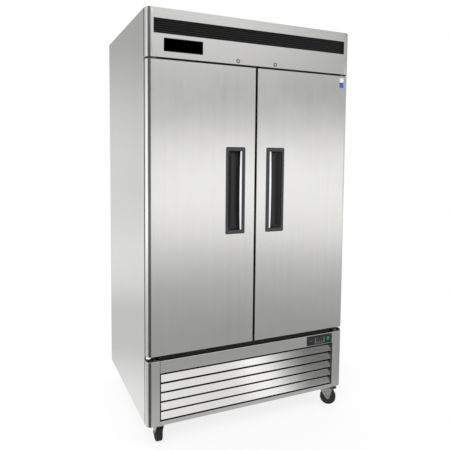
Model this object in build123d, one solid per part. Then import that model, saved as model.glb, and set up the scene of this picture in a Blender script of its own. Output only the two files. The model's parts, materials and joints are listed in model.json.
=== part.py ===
"""Two-door reach-in refrigerator with a bottom-mounted condensing unit, on swivel casters.

Millimetres. The origin is on the floor under the middle of the cabinet, +Z is up, the doors face -Y
and +X is to the right of someone who faces the doors. One STEP file is written for each sub-part.
"""

from build123d import *
import os

# ------------------------------------------------------------------ overall size
WIDTH = 1140.0
DEPTH = 870.0
HEIGHT = 2100.0

# ------------------------------------------------------------------ levels, from the floor up
BASE_H = 322.0
SILL_GAP = 25.0
HEAD_GAP = 9.0
HEADER_H = 224.0

# ------------------------------------------------------------------ sheet metal and insulation
SHEET = 1.2
LINER_SHEET = 1.0
CORNER_R = 25.0
EDGE_R = 3.0
WALL = 55.0
FRONT_FLANGE = 25.0
REAR_FLANGE = 15.0

# ------------------------------------------------------------------ doors
DOOR_PAN = 36.0
SEAL_GAP = 8.0
CENTRE_GAP = 11.0
DOOR_LAP_TOP = 35.0
GASKET_MARGIN = 8.0
GASKET_W = 18.0
GASKET_FREE = 0.3
PLUG_DEPTH = 12.0
PLUG_CLEAR = 6.0
PLUG_HINGE_CLEAR = 15.0
PLUG_WALL = 2.0
PIVOT_IN = 14.0
PIVOT_BACK = 22.0
PIN_R = 5.0
RUN_CLEAR = 0.05
BUSH_R = 10.0
BUSH_DEPTH = 28.0
BUSH_FLANGE = 10.0
BRACKET_T = 5.0
TOP_BRACKET_T = 4.0
PIN_ENGAGED = 20.0
PIN_END_CLEAR = 3.0
BRACKET_BACK_FROM_FACE = 6.0
TOP_BRACKET_BACK_FROM_FACE = 8.0
TOP_BRACKET_IN = 36.0
BRACKET_GAP = 0.5
SCREW_IN = 26.0
TOP_SCREW_IN = 28.0
SCREW_FORWARD = 8.0
SCREW_BEHIND = 12.0

# ------------------------------------------------------------------ door handles
HANDLE_W = 107.0
HANDLE_H = 437.0
HANDLE_Z = 1251.5
HANDLE_FROM_CENTRE = 60.0
HANDLE_PROUD = 2.5
HANDLE_POCKET = 24.0
HANDLE_WALL = 3.0
HANDLE_BORDER = 15.0
HANDLE_LIP = 6.0
HANDLE_FIT = 0.3
HANDLE_CORNER_R = 6.0
HANDLE_MOUTH = 6.0
HANDLE_UNDERCUT = 8.0
HANDLE_END_BORDER = 20.0
GRIP_BORDER = 19.0
GRIP_W = 12.0
GRIP_END_W = 6.0
GRIP_T = 5.0

# ------------------------------------------------------------------ cabinet front
BREAKER_T = 6.0
BREAKER_ABOVE = 20.0
MULLION_W = 70.0
MULLION_D = 45.0
BEAM_D = 70.0

# ------------------------------------------------------------------ header
LOUVRE_MARGIN = 35.5
LOUVRE_H = 68.5
LOUVRE_BELOW_TOP = 47.5
LOUVRE_RIBS = 6
LOUVRE_D = 12.0
LOUVRE_LIP = 6.0
LOUVRE_WALL = 1.5
LOUVRE_FIT = 0.5
RIB_T = 2.2
PLATE_X = -389.0
PLATE_W = 194.0
PLATE_H = 62.0
PLATE_ABOVE_EDGE = 28.0
PLATE_T = 1.5
LOCK_X = 105.0
LOCK_ABOVE_EDGE = 16.0
LOCK_R = 10.0
LOCK_BARREL_R = 8.5
LOCK_PLUG_R = 6.5
LOCK_LENGTH = 22.0
TONGUE_L = 34.0
TONGUE_W = 12.0
TONGUE_T = 2.5
TONGUE_CLEAR = 1.5
TONGUE_SHORT = 4.0
TONGUE_ROOM = 14.0
LOCK_PROUD = 2.0
LOCK_FIT = 0.1
KEYWAY_W = 8.0
KEYWAY_H = 2.0

# ------------------------------------------------------------------ base
POST_W = 65.0
RAIL_H = 21.0
RAIL_SHEET = 2.5
SIDE_RAIL_W = 40.0
CROSS_RAIL_W = 90.0
STRIP_H = 61.0
TRAY_T = 2.0
TRAY_SIDE_GAP = 6.0
TRAY_END_GAP = 20.0
BLADES = 5
BLADE_GAP = 14.5
BLADE_FOOT = 5.5
BLADE_HEAD = 15.0
BLADE_SLOPE = 17.0
BLADE_SET_BACK = 2.0
GRILLE_GAP = 3.0
GRILLE_END_D = 28.0
GRILLE_END_T = 3.0
GRILLE_END_BACK = 4.0
GRILLE_END_GAP = 1.0
BLADE_RETURN = 10.0

# ------------------------------------------------------------------ controller
CONTROL_W = 162.0
CONTROL_H = 49.0
CONTROL_D = 35.0
CONTROL_FROM_POST = 8.5
CONTROL_LIP = 2.0
CONTROL_PROUD = 1.5
DISPLAY_X = 81.0
DISPLAY_W = 46.0
DISPLAY_H = 27.0
POWER_X = 139.0
POWER_W = 16.0
POWER_H = 24.0
LAMP_X = 26.5
LAMP_W = 23.0
LAMP_H = 20.0
ROCKER_TILT = 8.0
ROCKER_CLEAR = 0.6
CONTROL_FIT = 0.4
CONTROL_CORNER_R = 3.0
WINDOW_D = 3.0
ROCKER_D = 20.0
ROCKER_AXIS_BACK = 6.0

# ------------------------------------------------------------------ interior
SHELF_LEVELS = (278.0, 598.0, 918.0)
SHELF_T = 6.0
SHELF_PITCH = 25.0
SHELF_WIRE = 4.0
SHELF_ROWS = 4
SHELF_BAR = 7.0
PILASTER_T = 12.0
PILASTER_W = 20.0
CLIP_H = 8.0
CLIP_L = 16.0
CLIP_W = 14.0
PILASTER_FRONT_IN = 70.0
PILASTER_REAR_IN = 90.0
CENTRE_RAIL_X = 15.0
CENTRE_RAIL_T = 10.0
EVAP_W = 840.0
EVAP_H = 165.0
EVAP_FRONT = 60.0
EVAP_SHEET = 1.5
EVAP_FAN_X = 200.0
EVAP_FAN_R = 60.0

# ------------------------------------------------------------------ machine compartment
COND_X = 290.0
COND_W = 340.0
COND_H = 250.0
COND_FRONT = -345.0
COND_D = 60.0
COND_FAN_R = 100.0
COMPRESSOR_X = -230.0
COMPRESSOR_Y = 110.0
COMPRESSOR_R = 78.0
COMPRESSOR_H = 150.0
LINE_X = 300.0
LINE_R = 5.0
SUCTION_R = 7.0
LINE_SPACING = 26.0
LINE_ABOVE_TRAY = 110.0
LINE_FRONT = 60.0

COMPRESSOR_DOME_R = 45.0
COMPRESSOR_FOOT_X = 105.0
COMPRESSOR_FOOT_Y = 70.0
GROMMET_H = 12.0
GROMMET_R = 11.0
END_PLATE_T = 12.0
FIN_SET_BACK = 5.0
SHROUD_D = 45.0
SHROUD_SHEET = 1.5
FAN_RING_CLEAR = 6.0
MOTOR_BEHIND = 24.0
SHAFT_R = 4.0
ARM_REACH = 14.0
ARM_W = 14.0
ARM_T = 3.0
ARM_FOOT = 8.0
GLAND_R = 11.0
GLAND_IN = 150.0
GLAND_ABOVE = 40.0
CORD_R = 4.0
ELECTRIC_W = 120.0
ELECTRIC_FRONT_IN = 170.0
PAN_X0 = 60.0
PAN_X1 = 420.0
PAN_FRONT = 120.0
PAN_H = 38.0
PAN_WALL = 2.0
REAR_GAP = 50.0
REAR_SLOT_COLUMNS = 4
REAR_SLOT_ROWS = 7
REAR_SLOT_APART = 40.0
REAR_SLOT_FIRST = 60.0
REAR_SLOT_PITCH = 32.0
REAR_SLOT_H = 12.0
DRIER_R = 14.0

# ------------------------------------------------------------------ casters
WHEEL_R = 44.0
WHEEL_W = 32.0
CASTER_X_IN = 75.0
CASTER_FRONT_IN = 55.0
CASTER_REAR_IN = 62.0
TRAIL = 22.0
CASTER_PLATE_X = 76.0
CASTER_PLATE_Y = 60.0
CASTER_PLATE_T = 4.0
CASTER_BOLT_X = 28.0
CASTER_BOLT_Y = 22.0
KINGPIN_R = 6.0
AXLE_R = 5.0
LEG_T = 2.5
LEG_GAP = 1.5
WHEEL_CLEAR = 4.0
CROWN_T = 4.0
RACE_R = 23.0
RACE_H = 15.0
LOWER_RACE_H = 4.0
RACE_GAP = 0.3
CROWN_TAIL = 12.0
AXLE_STICKS_OUT = 5.0
AXLE_NUT_ACROSS = 15.0
AXLE_NUT_H = 4.0
TREAD_R = 5.0
WHEEL_DISH = 4.0
WHEEL_RIM = 10.0
HUB_R = 12.0
PEDAL_PIN_R = 2.5
PEDAL_X = 38.0
PEDAL_LENGTH = 32.0
PEDAL_TILT = 10.0
PEDAL_T = 3.0
PEDAL_BARREL_R = 4.0

# ------------------------------------------------------------------ fasteners
SCREW_R = 2.5
SCREW_HOLE_R = 2.6
SCREW_HEAD_R = 5.0
SCREW_NUT_ACROSS = 9.0
SCREW_NUT_H = 4.0
BOLT_R = 4.0
BOLT_HOLE_R = 4.2
BOLT_HEAD_ACROSS = 12.0
BOLT_HEAD_H = 5.0
BOLT_NUT_H = 6.0
CUT = 1.0

# ------------------------------------------------------------------ derived places
CROWN_Z = 2 * WHEEL_R + WHEEL_CLEAR
PEDAL_Z = CROWN_Z - 2
CASTER_H = CROWN_Z + CROWN_T + RACE_H + CASTER_PLATE_T
RIGHT = WIDTH / 2
FRONT = -DEPTH / 2
BACK = DEPTH / 2
BASE_TOP = CASTER_H + BASE_H
DOOR_BOTTOM = BASE_TOP + SILL_GAP
HEADER_Z = HEIGHT - HEADER_H
DOOR_TOP = HEADER_Z - HEAD_GAP
DOOR_BACK = FRONT + DOOR_PAN
CAB_FRONT = DOOR_BACK + SEAL_GAP
IN_X = RIGHT - WALL
IN_FLOOR = BASE_TOP + WALL
IN_TOP = HEIGHT - WALL
IN_BACK = BACK - WALL
OPEN_TOP = DOOR_TOP - DOOR_LAP_TOP
BEAM_BACK = CAB_FRONT + BEAM_D
BREAKER_TOP = HEADER_Z + BREAKER_ABOVE
DOOR_INNER = CENTRE_GAP / 2
PIVOT_X = RIGHT - PIVOT_IN
PIVOT_Y = FRONT + PIVOT_BACK
LOCK_Z = HEADER_Z + LOCK_ABOVE_EDGE
TONGUE_Y = FRONT + LOCK_LENGTH + LOCK_PROUD
TRAY_Z = CASTER_H + RAIL_H
STRIP_Z = BASE_TOP - STRIP_H
POST_X = RIGHT - POST_W
CONTROL_X1 = POST_X - CONTROL_FROM_POST
CONTROL_X0 = CONTROL_X1 - CONTROL_W
CONTROL_Z = (STRIP_Z + BASE_TOP) / 2
EVAP_Z = IN_TOP - EVAP_H
EVAP_FAN_Z = EVAP_Z + EVAP_H / 2
COND_BACK = COND_FRONT + COND_D
COND_Z = TRAY_Z + TRAY_T
COND_FAN_Z = COND_Z + COND_H / 2
CASTERS = {
    "front_left": (-RIGHT + CASTER_X_IN, FRONT + CASTER_FRONT_IN, 86.0, True),
    "front_right": (RIGHT - CASTER_X_IN, FRONT + CASTER_FRONT_IN, -38.0, True),
    "rear_left": (-RIGHT + CASTER_X_IN, BACK - CASTER_REAR_IN, 78.0, False),
    "rear_right": (RIGHT - CASTER_X_IN, BACK - CASTER_REAR_IN, 58.0, False),
}


# ------------------------------------------------------------------ helpers
def block(x0, x1, y0, y1, z0, z1):
    """A box between two corners."""
    return Pos((x0 + x1) / 2, (y0 + y1) / 2, (z0 + z1) / 2) * Box(x1 - x0, y1 - y0, z1 - z0)


def rod_y(x, z, y0, y1, radius):
    """A cylinder along Y."""
    return Pos(x, (y0 + y1) / 2, z) * Rot(90, 0, 0) * Cylinder(radius, y1 - y0)


def rod_x(y, z, x0, x1, radius):
    """A cylinder along X."""
    return Pos((x0 + x1) / 2, y, z) * Rot(0, 90, 0) * Cylinder(radius, x1 - x0)


def rod_z(x, y, z0, z1, radius):
    """A cylinder along Z."""
    return Pos(x, y, (z0 + z1) / 2) * Cylinder(radius, z1 - z0)


def front_rounded(x0, x1, y0, y1, z0, z1, r_left, r_right):
    """A box whose two front vertical edges are rounded."""
    body = block(x0, x1, y0, y1, z0, z1)
    left, right = body.edges().filter_by(Axis.Z).group_by(Axis.Y)[0].sort_by(Axis.X)
    body = fillet(left, r_left)
    right = body.edges().filter_by(Axis.Z).group_by(Axis.X)[-1].sort_by(Axis.Y)[0]
    return fillet(right, r_right)


def pan(x0, x1, y0, y1, z0, z1, r_left, r_right, wall=SHEET):
    """A folded sheet pan: a front, four returns, and an open back."""
    outer = front_rounded(x0, x1, y0, y1, z0, z1, r_left, r_right)
    inner = front_rounded(
        x0 + wall, x1 - wall, y0 + wall, y1 + wall, z0 + wall, z1 - wall, r_left - wall, r_right - wall
    )
    return outer - inner


def profile_x(points, x0, x1):
    """A closed outline of (y, z) points, run along X."""
    outline = make_face(Polyline(*[(x0, y, z) for y, z in points], close=True))
    return extrude(outline, amount=x1 - x0, dir=(1, 0, 0))


def both_sides(solid):
    """A right-hand piece and its mirror image."""
    return Compound(children=[mirror(solid, about=Plane.YZ), solid])


def group(solids):
    """Separate solids that share one node."""
    return Compound(children=list(solids))


def tube(points, radii, radius):
    """A round tube along straight runs with bends between them."""
    path = FilletPolyline(*points, radius=radii)
    section = Plane(origin=path @ 0, z_dir=path % 0) * Circle(radius)
    return sweep(section, path=path)


def hexagon(x, y, z0, z1, across):
    """A hexagonal bolt head or nut, standing along Z."""
    return Pos(x, y, z0) * extrude(RegularPolygon(across / 2, 6, major_radius=False), amount=z1 - z0)


# ------------------------------------------------------------------ cabinet shell
def side_panels():
    right = block(RIGHT - SHEET, RIGHT, CAB_FRONT, BACK, CASTER_H, HEIGHT)
    right += block(RIGHT - FRONT_FLANGE, RIGHT, CAB_FRONT, CAB_FRONT + SHEET, CASTER_H, HEIGHT)
    right += block(RIGHT - REAR_FLANGE, RIGHT, BACK - SHEET, BACK, CASTER_H, HEIGHT)
    return both_sides(right)


def shell_panels():
    inner_x = RIGHT - SHEET
    apron_x = RIGHT - FRONT_FLANGE
    rear_x = RIGHT - REAR_FLANGE
    top = block(-inner_x, inner_x, CAB_FRONT + SHEET, BACK - SHEET, HEIGHT - SHEET, HEIGHT)
    top += block(-apron_x, apron_x, CAB_FRONT, CAB_FRONT + SHEET, BREAKER_TOP, HEIGHT)
    rear = block(-rear_x, rear_x, BACK - SHEET, BACK, BASE_TOP, HEIGHT)
    bottom = block(-inner_x, inner_x, CAB_FRONT + BREAKER_T, BACK - SHEET, BASE_TOP, BASE_TOP + SHEET)
    for x, _, radius in line_places():
        bottom -= rod_z(x, line_y(), BASE_TOP - 1, BASE_TOP + SHEET + 1, radius + 1)
    return group([top, rear, bottom])


def liner_envelope(grow):
    """The space inside the liner, grown by the liner's own thickness for its outside."""
    main = block(-IN_X - grow, IN_X + grow, BEAM_BACK - grow, IN_BACK + grow, IN_FLOOR - grow, IN_TOP + grow)
    throat = block(
        -IN_X - grow, IN_X + grow, CAB_FRONT + BREAKER_T, BEAM_BACK, IN_FLOOR - grow, OPEN_TOP + grow
    )
    return main + throat


def line_y():
    """The refrigerant lines rise in the middle of the rear wall's foam."""
    return BACK - WALL / 2


def line_places():
    """X, the height where each line turns into the evaporator, and its radius."""
    return [
        (LINE_X, EVAP_FAN_Z - 25, LINE_R),
        (LINE_X + LINE_SPACING, EVAP_FAN_Z + 25, SUCTION_R),
    ]


def cabinet_foam():
    inner_x = RIGHT - SHEET
    foam = block(-inner_x, inner_x, CAB_FRONT + SHEET, BACK - SHEET, BASE_TOP + SHEET, HEIGHT - SHEET)
    breaker_x = RIGHT - FRONT_FLANGE
    foam -= block(-breaker_x, breaker_x, CAB_FRONT, CAB_FRONT + BREAKER_T, BASE_TOP, BREAKER_TOP)
    foam -= liner_envelope(LINER_SHEET)
    for x, z, radius in line_places():
        room = 2 * radius
        foam -= block(x - room, x + room, IN_BACK, line_y() + room, BASE_TOP, z + room)
    return foam


def inner_liner():
    liner = liner_envelope(LINER_SHEET) - liner_envelope(0)
    mouth = CAB_FRONT + BREAKER_T
    liner -= block(-IN_X, IN_X, mouth - 1, mouth + 1, IN_FLOOR, OPEN_TOP)
    for x, z, radius in line_places():
        liner -= rod_y(x, z, IN_BACK - 1, IN_BACK + LINER_SHEET + 1, radius + 0.5)
    return liner


def breaker_frame():
    edge = RIGHT - FRONT_FLANGE
    frame = block(-edge, edge, CAB_FRONT, CAB_FRONT + BREAKER_T, BASE_TOP, BREAKER_TOP)
    opening = block(
        MULLION_W / 2, IN_X, CAB_FRONT - 1, CAB_FRONT + BREAKER_T + 1, IN_FLOOR, OPEN_TOP
    )
    return frame - opening - mirror(opening, about=Plane.YZ)


def centre_mullion():
    y0 = CAB_FRONT + BREAKER_T
    half = MULLION_W / 2
    post = block(-half, half, y0, y0 + MULLION_D, IN_FLOOR, OPEN_TOP)
    rear_edges = post.edges().filter_by(Axis.Z).group_by(Axis.Y)[-1]
    post = fillet(rear_edges, EDGE_R)
    inside = block(
        -half + SHEET, half - SHEET, y0 - 1, y0 + MULLION_D - SHEET, IN_FLOOR + SHEET, OPEN_TOP - SHEET
    )
    return post - inside


# ------------------------------------------------------------------ header
def louvre_span():
    """Half the width, and the lower and upper edge, of the header's louvre opening."""
    z1 = HEIGHT - LOUVRE_BELOW_TOP
    return RIGHT - LOUVRE_MARGIN, z1 - LOUVRE_H, z1


def tongue_sweep(z0, z1, reach):
    """Room for the right lock's tongue where it passes through a sheet."""
    side = TONGUE_W / 2 + TONGUE_CLEAR
    y0 = TONGUE_Y - TONGUE_CLEAR
    return block(LOCK_X - side, LOCK_X + reach, y0, TONGUE_Y + TONGUE_T + TONGUE_CLEAR, z0, z1)


def header_fascia():
    fascia = pan(-RIGHT, RIGHT, FRONT, CAB_FRONT, HEADER_Z, HEIGHT, CORNER_R, CORNER_R)
    half, z0, z1 = louvre_span()
    fascia -= block(-half, half, FRONT - CUT, FRONT + SHEET + CUT, z0, z1)
    cuts = rod_y(LOCK_X, LOCK_Z, FRONT - CUT, FRONT + SHEET + CUT, LOCK_BARREL_R + LOCK_FIT)
    cuts += tongue_sweep(HEADER_Z - CUT, HEADER_Z + SHEET + CUT, TONGUE_L)
    for x, y in top_screw_places():
        cuts += rod_z(x, y, HEADER_Z - CUT, HEADER_Z + SHEET + CUT, SCREW_HOLE_R)
    return fascia - cuts - mirror(cuts, about=Plane.YZ)


def header_louvre():
    """The lip behind the fascia, the tray in its opening, and the slanted ribs."""
    half, z0, z1 = louvre_span()
    back = FRONT + LOUVRE_D
    lip_y = FRONT + SHEET
    fit = LOUVRE_FIT
    wall = fit + LOUVRE_WALL
    lip = LOUVRE_LIP
    strip = block(-half - lip, half + lip, lip_y, lip_y + LOUVRE_WALL, z0 - lip, z1 + lip)
    strip += block(-half + fit, half - fit, lip_y, back + wall, z0 + fit, z1 - fit)
    strip -= block(-half + wall, half - wall, FRONT, back, z0 + wall, z1 - wall)
    pitch = (LOUVRE_H - 2 * wall) / LOUVRE_RIBS
    nose = FRONT + 0.3
    for i in range(LOUVRE_RIBS):
        low = z0 + wall + pitch * i + 1
        rib = [
            (nose, low),
            (nose, low + RIB_T),
            (back + 1, low + pitch - 2),
            (back + 1, low + pitch - 2 - RIB_T),
        ]
        strip += profile_x(rib, -half + 1, half - 1)
    return strip


def name_plate():
    z0 = HEADER_Z + PLATE_ABOVE_EDGE
    plate = block(
        PLATE_X - PLATE_W / 2, PLATE_X + PLATE_W / 2, FRONT - PLATE_T, FRONT, z0, z0 + PLATE_H
    )
    return fillet(plate.edges().filter_by(Axis.Y), 2.0)


def lock_housings():
    housing = rod_y(LOCK_X, LOCK_Z, FRONT - LOCK_PROUD, FRONT, LOCK_R)
    housing = chamfer(housing.faces().sort_by(Axis.Y)[0].edges(), 0.8)
    housing += rod_y(LOCK_X, LOCK_Z, FRONT, FRONT + LOCK_LENGTH, LOCK_BARREL_R)
    housing -= rod_y(LOCK_X, LOCK_Z, FRONT - LOCK_PROUD - CUT, FRONT + LOCK_LENGTH + CUT, LOCK_PLUG_R)
    return both_sides(housing)


def lock_plug():
    """The turning plug and tongue of the right lock, unlocked."""
    plug = rod_y(LOCK_X, LOCK_Z, FRONT - LOCK_PROUD + 0.6, TONGUE_Y, LOCK_PLUG_R - RUN_CLEAR)
    plug -= block(
        LOCK_X - KEYWAY_W / 2, LOCK_X + KEYWAY_W / 2, FRONT - LOCK_PROUD, FRONT + KEYWAY_W / 2,
        LOCK_Z - KEYWAY_H / 2, LOCK_Z + KEYWAY_H / 2,
    )
    half = TONGUE_W / 2
    tongue = block(
        LOCK_X - half, LOCK_X + TONGUE_L, TONGUE_Y, TONGUE_Y + TONGUE_T, LOCK_Z - half, LOCK_Z + half
    )
    tongue = fillet(tongue.edges().filter_by(Axis.Y), half - 0.5)
    return plug + tongue


# ------------------------------------------------------------------ hinges
def top_screw_places():
    x = PIVOT_X - TOP_SCREW_IN
    return [(x, PIVOT_Y - SCREW_FORWARD), (x, PIVOT_Y + SCREW_BEHIND)]


def bottom_screw_places():
    x = PIVOT_X - SCREW_IN
    return [(x, PIVOT_Y - SCREW_FORWARD), (x, PIVOT_Y + SCREW_BEHIND)]


def hinge_brackets():
    edge = RIGHT - SHEET
    lower_y = FRONT + BRACKET_BACK_FROM_FACE
    lower = block(POST_X, edge, lower_y, CAB_FRONT, BASE_TOP, BASE_TOP + BRACKET_T)
    outer_corner = lower.edges().filter_by(Axis.Z).group_by(Axis.Y)[0].sort_by(Axis.X)[-1]
    lower = fillet(outer_corner, CORNER_R - 8)
    boss_top = DOOR_BOTTOM - BUSH_FLANGE - BRACKET_GAP
    lower += rod_z(PIVOT_X, PIVOT_Y, BASE_TOP + BRACKET_T, boss_top, BUSH_R)
    lower += rod_z(PIVOT_X, PIVOT_Y, boss_top, DOOR_BOTTOM + PIN_ENGAGED, PIN_R)
    for x, y in bottom_screw_places():
        lower -= rod_z(x, y, BASE_TOP - CUT, BASE_TOP + BRACKET_T + CUT, SCREW_HOLE_R)
    upper_z = HEADER_Z - TOP_BRACKET_T
    upper_y = FRONT + TOP_BRACKET_BACK_FROM_FACE
    upper = block(PIVOT_X - TOP_BRACKET_IN, edge, upper_y, CAB_FRONT, upper_z, HEADER_Z)
    outer_corner = upper.edges().filter_by(Axis.Z).group_by(Axis.Y)[0].sort_by(Axis.X)[-1]
    upper = fillet(outer_corner, CORNER_R - 10)
    upper += rod_z(PIVOT_X, PIVOT_Y, DOOR_TOP - PIN_ENGAGED, upper_z, PIN_R)
    for x, y in top_screw_places():
        upper -= rod_z(x, y, upper_z - CUT, HEADER_Z + CUT, SCREW_HOLE_R)
    solids = []
    for piece in (lower, upper):
        solids += [piece, mirror(piece, about=Plane.YZ)]
    return group(solids)


# ------------------------------------------------------------------ doors, drawn for the right side
def handle_span():
    """The handle's outer edges: nearest the centre, farthest, bottom, top."""
    x0 = DOOR_INNER + HANDLE_FROM_CENTRE - CENTRE_GAP / 2
    return x0, x0 + HANDLE_W, HANDLE_Z - HANDLE_H / 2, HANDLE_Z + HANDLE_H / 2


def handle_body(clear=0.0):
    """The part of the handle that sits inside the door."""
    x0, x1, z0, z1 = handle_span()
    lip = HANDLE_LIP - clear
    deep = FRONT + HANDLE_POCKET + HANDLE_WALL + clear
    return block(x0 + lip, x1 - lip, FRONT - CUT, deep, z0 + lip, z1 - lip)


def bush_places():
    """Bottom and top of each bush's place in the door."""
    return [(DOOR_BOTTOM, DOOR_BOTTOM + BUSH_DEPTH), (DOOR_TOP - BUSH_DEPTH, DOOR_TOP)]


def door_skin():
    skin = pan(DOOR_INNER, RIGHT, FRONT, DOOR_BACK, DOOR_BOTTOM, DOOR_TOP, EDGE_R, CORNER_R)
    skin -= handle_body(HANDLE_FIT)
    for z0, z1 in bush_places():
        skin -= rod_z(PIVOT_X, PIVOT_Y, z0, z1, BUSH_R)
    return skin - tongue_sweep(DOOR_TOP - SHEET - CUT, DOOR_TOP + CUT, TONGUE_L - TONGUE_SHORT)


def plug_block(inset):
    """The raised middle of the door's inner face, which enters the cabinet's mouth."""
    return block(
        MULLION_W / 2 + PLUG_CLEAR + inset,
        IN_X - PLUG_HINGE_CLEAR - inset,
        DOOR_BACK - SHEET,
        CAB_FRONT + PLUG_DEPTH - inset,
        IN_FLOOR + PLUG_CLEAR + inset,
        OPEN_TOP - PLUG_CLEAR - inset,
    )


def door_core():
    core = front_rounded(
        DOOR_INNER + SHEET,
        RIGHT - SHEET,
        FRONT + SHEET,
        DOOR_BACK - SHEET,
        DOOR_BOTTOM + SHEET,
        DOOR_TOP - SHEET,
        EDGE_R,
        CORNER_R,
    )
    core -= handle_body(HANDLE_FIT)
    core += plug_block(PLUG_WALL)
    for z0, z1 in bush_places():
        core -= rod_z(PIVOT_X, PIVOT_Y, z0, z1, BUSH_R)
    return core - tongue_sweep(DOOR_TOP - TONGUE_ROOM, DOOR_TOP + CUT, TONGUE_L - TONGUE_SHORT)


def door_liner():
    """The inner panel, with the two hinge bushes that snap into the door's ends."""
    liner = block(
        DOOR_INNER + SHEET, RIGHT - SHEET, DOOR_BACK - SHEET, DOOR_BACK, DOOR_BOTTOM + SHEET, DOOR_TOP - SHEET
    )
    liner += plug_block(0.0)
    liner -= plug_block(PLUG_WALL)
    solids = [liner]
    for (z0, z1), outward in zip(bush_places(), (-1, 1)):
        bush = rod_z(PIVOT_X, PIVOT_Y, z0, z1, BUSH_R)
        if outward < 0:
            bush += rod_z(PIVOT_X, PIVOT_Y, z0 - BUSH_FLANGE, z0, BUSH_R + 2)
        deepest = PIN_ENGAGED + PIN_END_CLEAR
        hole_z0 = z0 - BUSH_FLANGE - CUT if outward < 0 else DOOR_TOP - deepest
        hole_z1 = DOOR_BOTTOM + deepest if outward < 0 else z1 + CUT
        solids.append(bush - rod_z(PIVOT_X, PIVOT_Y, hole_z0, hole_z1, PIN_R + RUN_CLEAR))
    return group(solids)


def door_gasket():
    outer = block(
        DOOR_INNER + GASKET_MARGIN,
        RIGHT - CORNER_R,
        DOOR_BACK,
        CAB_FRONT - GASKET_FREE,
        DOOR_BOTTOM + GASKET_MARGIN,
        DOOR_TOP - GASKET_MARGIN,
    )
    inner = block(
        DOOR_INNER + GASKET_MARGIN + GASKET_W,
        RIGHT - CORNER_R - GASKET_W,
        DOOR_BACK - 1,
        CAB_FRONT,
        DOOR_BOTTOM + GASKET_MARGIN + GASKET_W,
        DOOR_TOP - GASKET_MARGIN - GASKET_W,
    )
    return outer - inner


def door_handle():
    """The moulded pocket, and the polished grip bar along its edge nearest the centre."""
    x0, x1, z0, z1 = handle_span()
    bezel = block(x0, x1, FRONT - HANDLE_PROUD, FRONT, z0, z1)
    bezel = fillet(bezel.edges().filter_by(Axis.Y), HANDLE_CORNER_R)
    bezel = chamfer(bezel.faces().sort_by(Axis.Y)[0].edges(), 1.2)
    lip = HANDLE_LIP
    body = block(x0 + lip, x1 - lip, FRONT, FRONT + HANDLE_POCKET + HANDLE_WALL, z0 + lip, z1 - lip)
    pocket = bezel + body
    mouth_z0 = z0 + HANDLE_END_BORDER
    mouth_z1 = z1 - HANDLE_END_BORDER
    mouth_y = FRONT - HANDLE_PROUD - CUT
    pocket -= block(x0 + GRIP_BORDER, x1 - HANDLE_BORDER, mouth_y, FRONT + HANDLE_MOUTH, mouth_z0, mouth_z1)
    pocket -= block(
        x0 + lip + HANDLE_WALL, x1 - lip - HANDLE_WALL, FRONT + HANDLE_WALL, FRONT + HANDLE_POCKET,
        mouth_z0 - HANDLE_UNDERCUT, mouth_z1 + HANDLE_UNDERCUT,
    )
    grip_x = x0 + GRIP_BORDER
    mid_z = (mouth_z0 + mouth_z1) / 2
    edge = ThreePointArc(
        (grip_x + GRIP_END_W, FRONT, mouth_z0),
        (grip_x + GRIP_W, FRONT, mid_z),
        (grip_x + GRIP_END_W, FRONT, mouth_z1),
    )
    rest = Polyline(
        (grip_x + GRIP_END_W, FRONT, mouth_z1),
        (grip_x, FRONT, mouth_z1),
        (grip_x, FRONT, mouth_z0),
        (grip_x + GRIP_END_W, FRONT, mouth_z0),
    )
    grip = extrude(make_face([edge, rest]), amount=GRIP_T, dir=(0, 1, 0))
    return group([pocket, Pos(0, -HANDLE_PROUD / 2, 0) * grip])


# ------------------------------------------------------------------ base
def base_frame():
    edge = RIGHT - SHEET
    rear = BACK - SHEET
    ring_front = CAB_FRONT + SHEET
    frame = block(-edge, edge, ring_front, rear, CASTER_H, TRAY_Z)
    frame += block(-POST_X, POST_X, FRONT, ring_front, CASTER_H, TRAY_Z)
    frame -= block(
        -edge + RAIL_SHEET, edge - RAIL_SHEET, ring_front + RAIL_SHEET, rear - RAIL_SHEET,
        CASTER_H + RAIL_SHEET, TRAY_Z - RAIL_SHEET,
    )
    frame -= block(
        -POST_X + RAIL_SHEET, POST_X - RAIL_SHEET, FRONT + RAIL_SHEET, ring_front + 3 * RAIL_SHEET,
        CASTER_H + RAIL_SHEET, TRAY_Z - RAIL_SHEET,
    )
    frame -= block(
        -edge + SIDE_RAIL_W, edge - SIDE_RAIL_W, CAB_FRONT + CROSS_RAIL_W, rear - CROSS_RAIL_W,
        CASTER_H - CUT, TRAY_Z + CUT,
    )
    for x, y in caster_bolt_places():
        frame -= rod_z(x, y, CASTER_H - CUT, CASTER_H + RAIL_SHEET + CUT, BOLT_HOLE_R)
    tray = block(
        -edge + TRAY_SIDE_GAP, edge - TRAY_SIDE_GAP, CAB_FRONT + TRAY_END_GAP, rear - TRAY_END_GAP,
        TRAY_Z, TRAY_Z + TRAY_T,
    )
    return group([frame, tray])


def corner_posts():
    post = pan(POST_X, RIGHT, FRONT, CAB_FRONT, CASTER_H, BASE_TOP, EDGE_R, CORNER_R)
    for x, y in bottom_screw_places():
        post -= rod_z(x, y, BASE_TOP - SHEET - CUT, BASE_TOP + CUT, SCREW_HOLE_R)
    for x, y in caster_bolt_places():
        if x > 0 and y < CAB_FRONT:
            post -= rod_z(x, y, CASTER_H - CUT, CASTER_H + SHEET + CUT, BOLT_HOLE_R)
    return both_sides(post)


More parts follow.
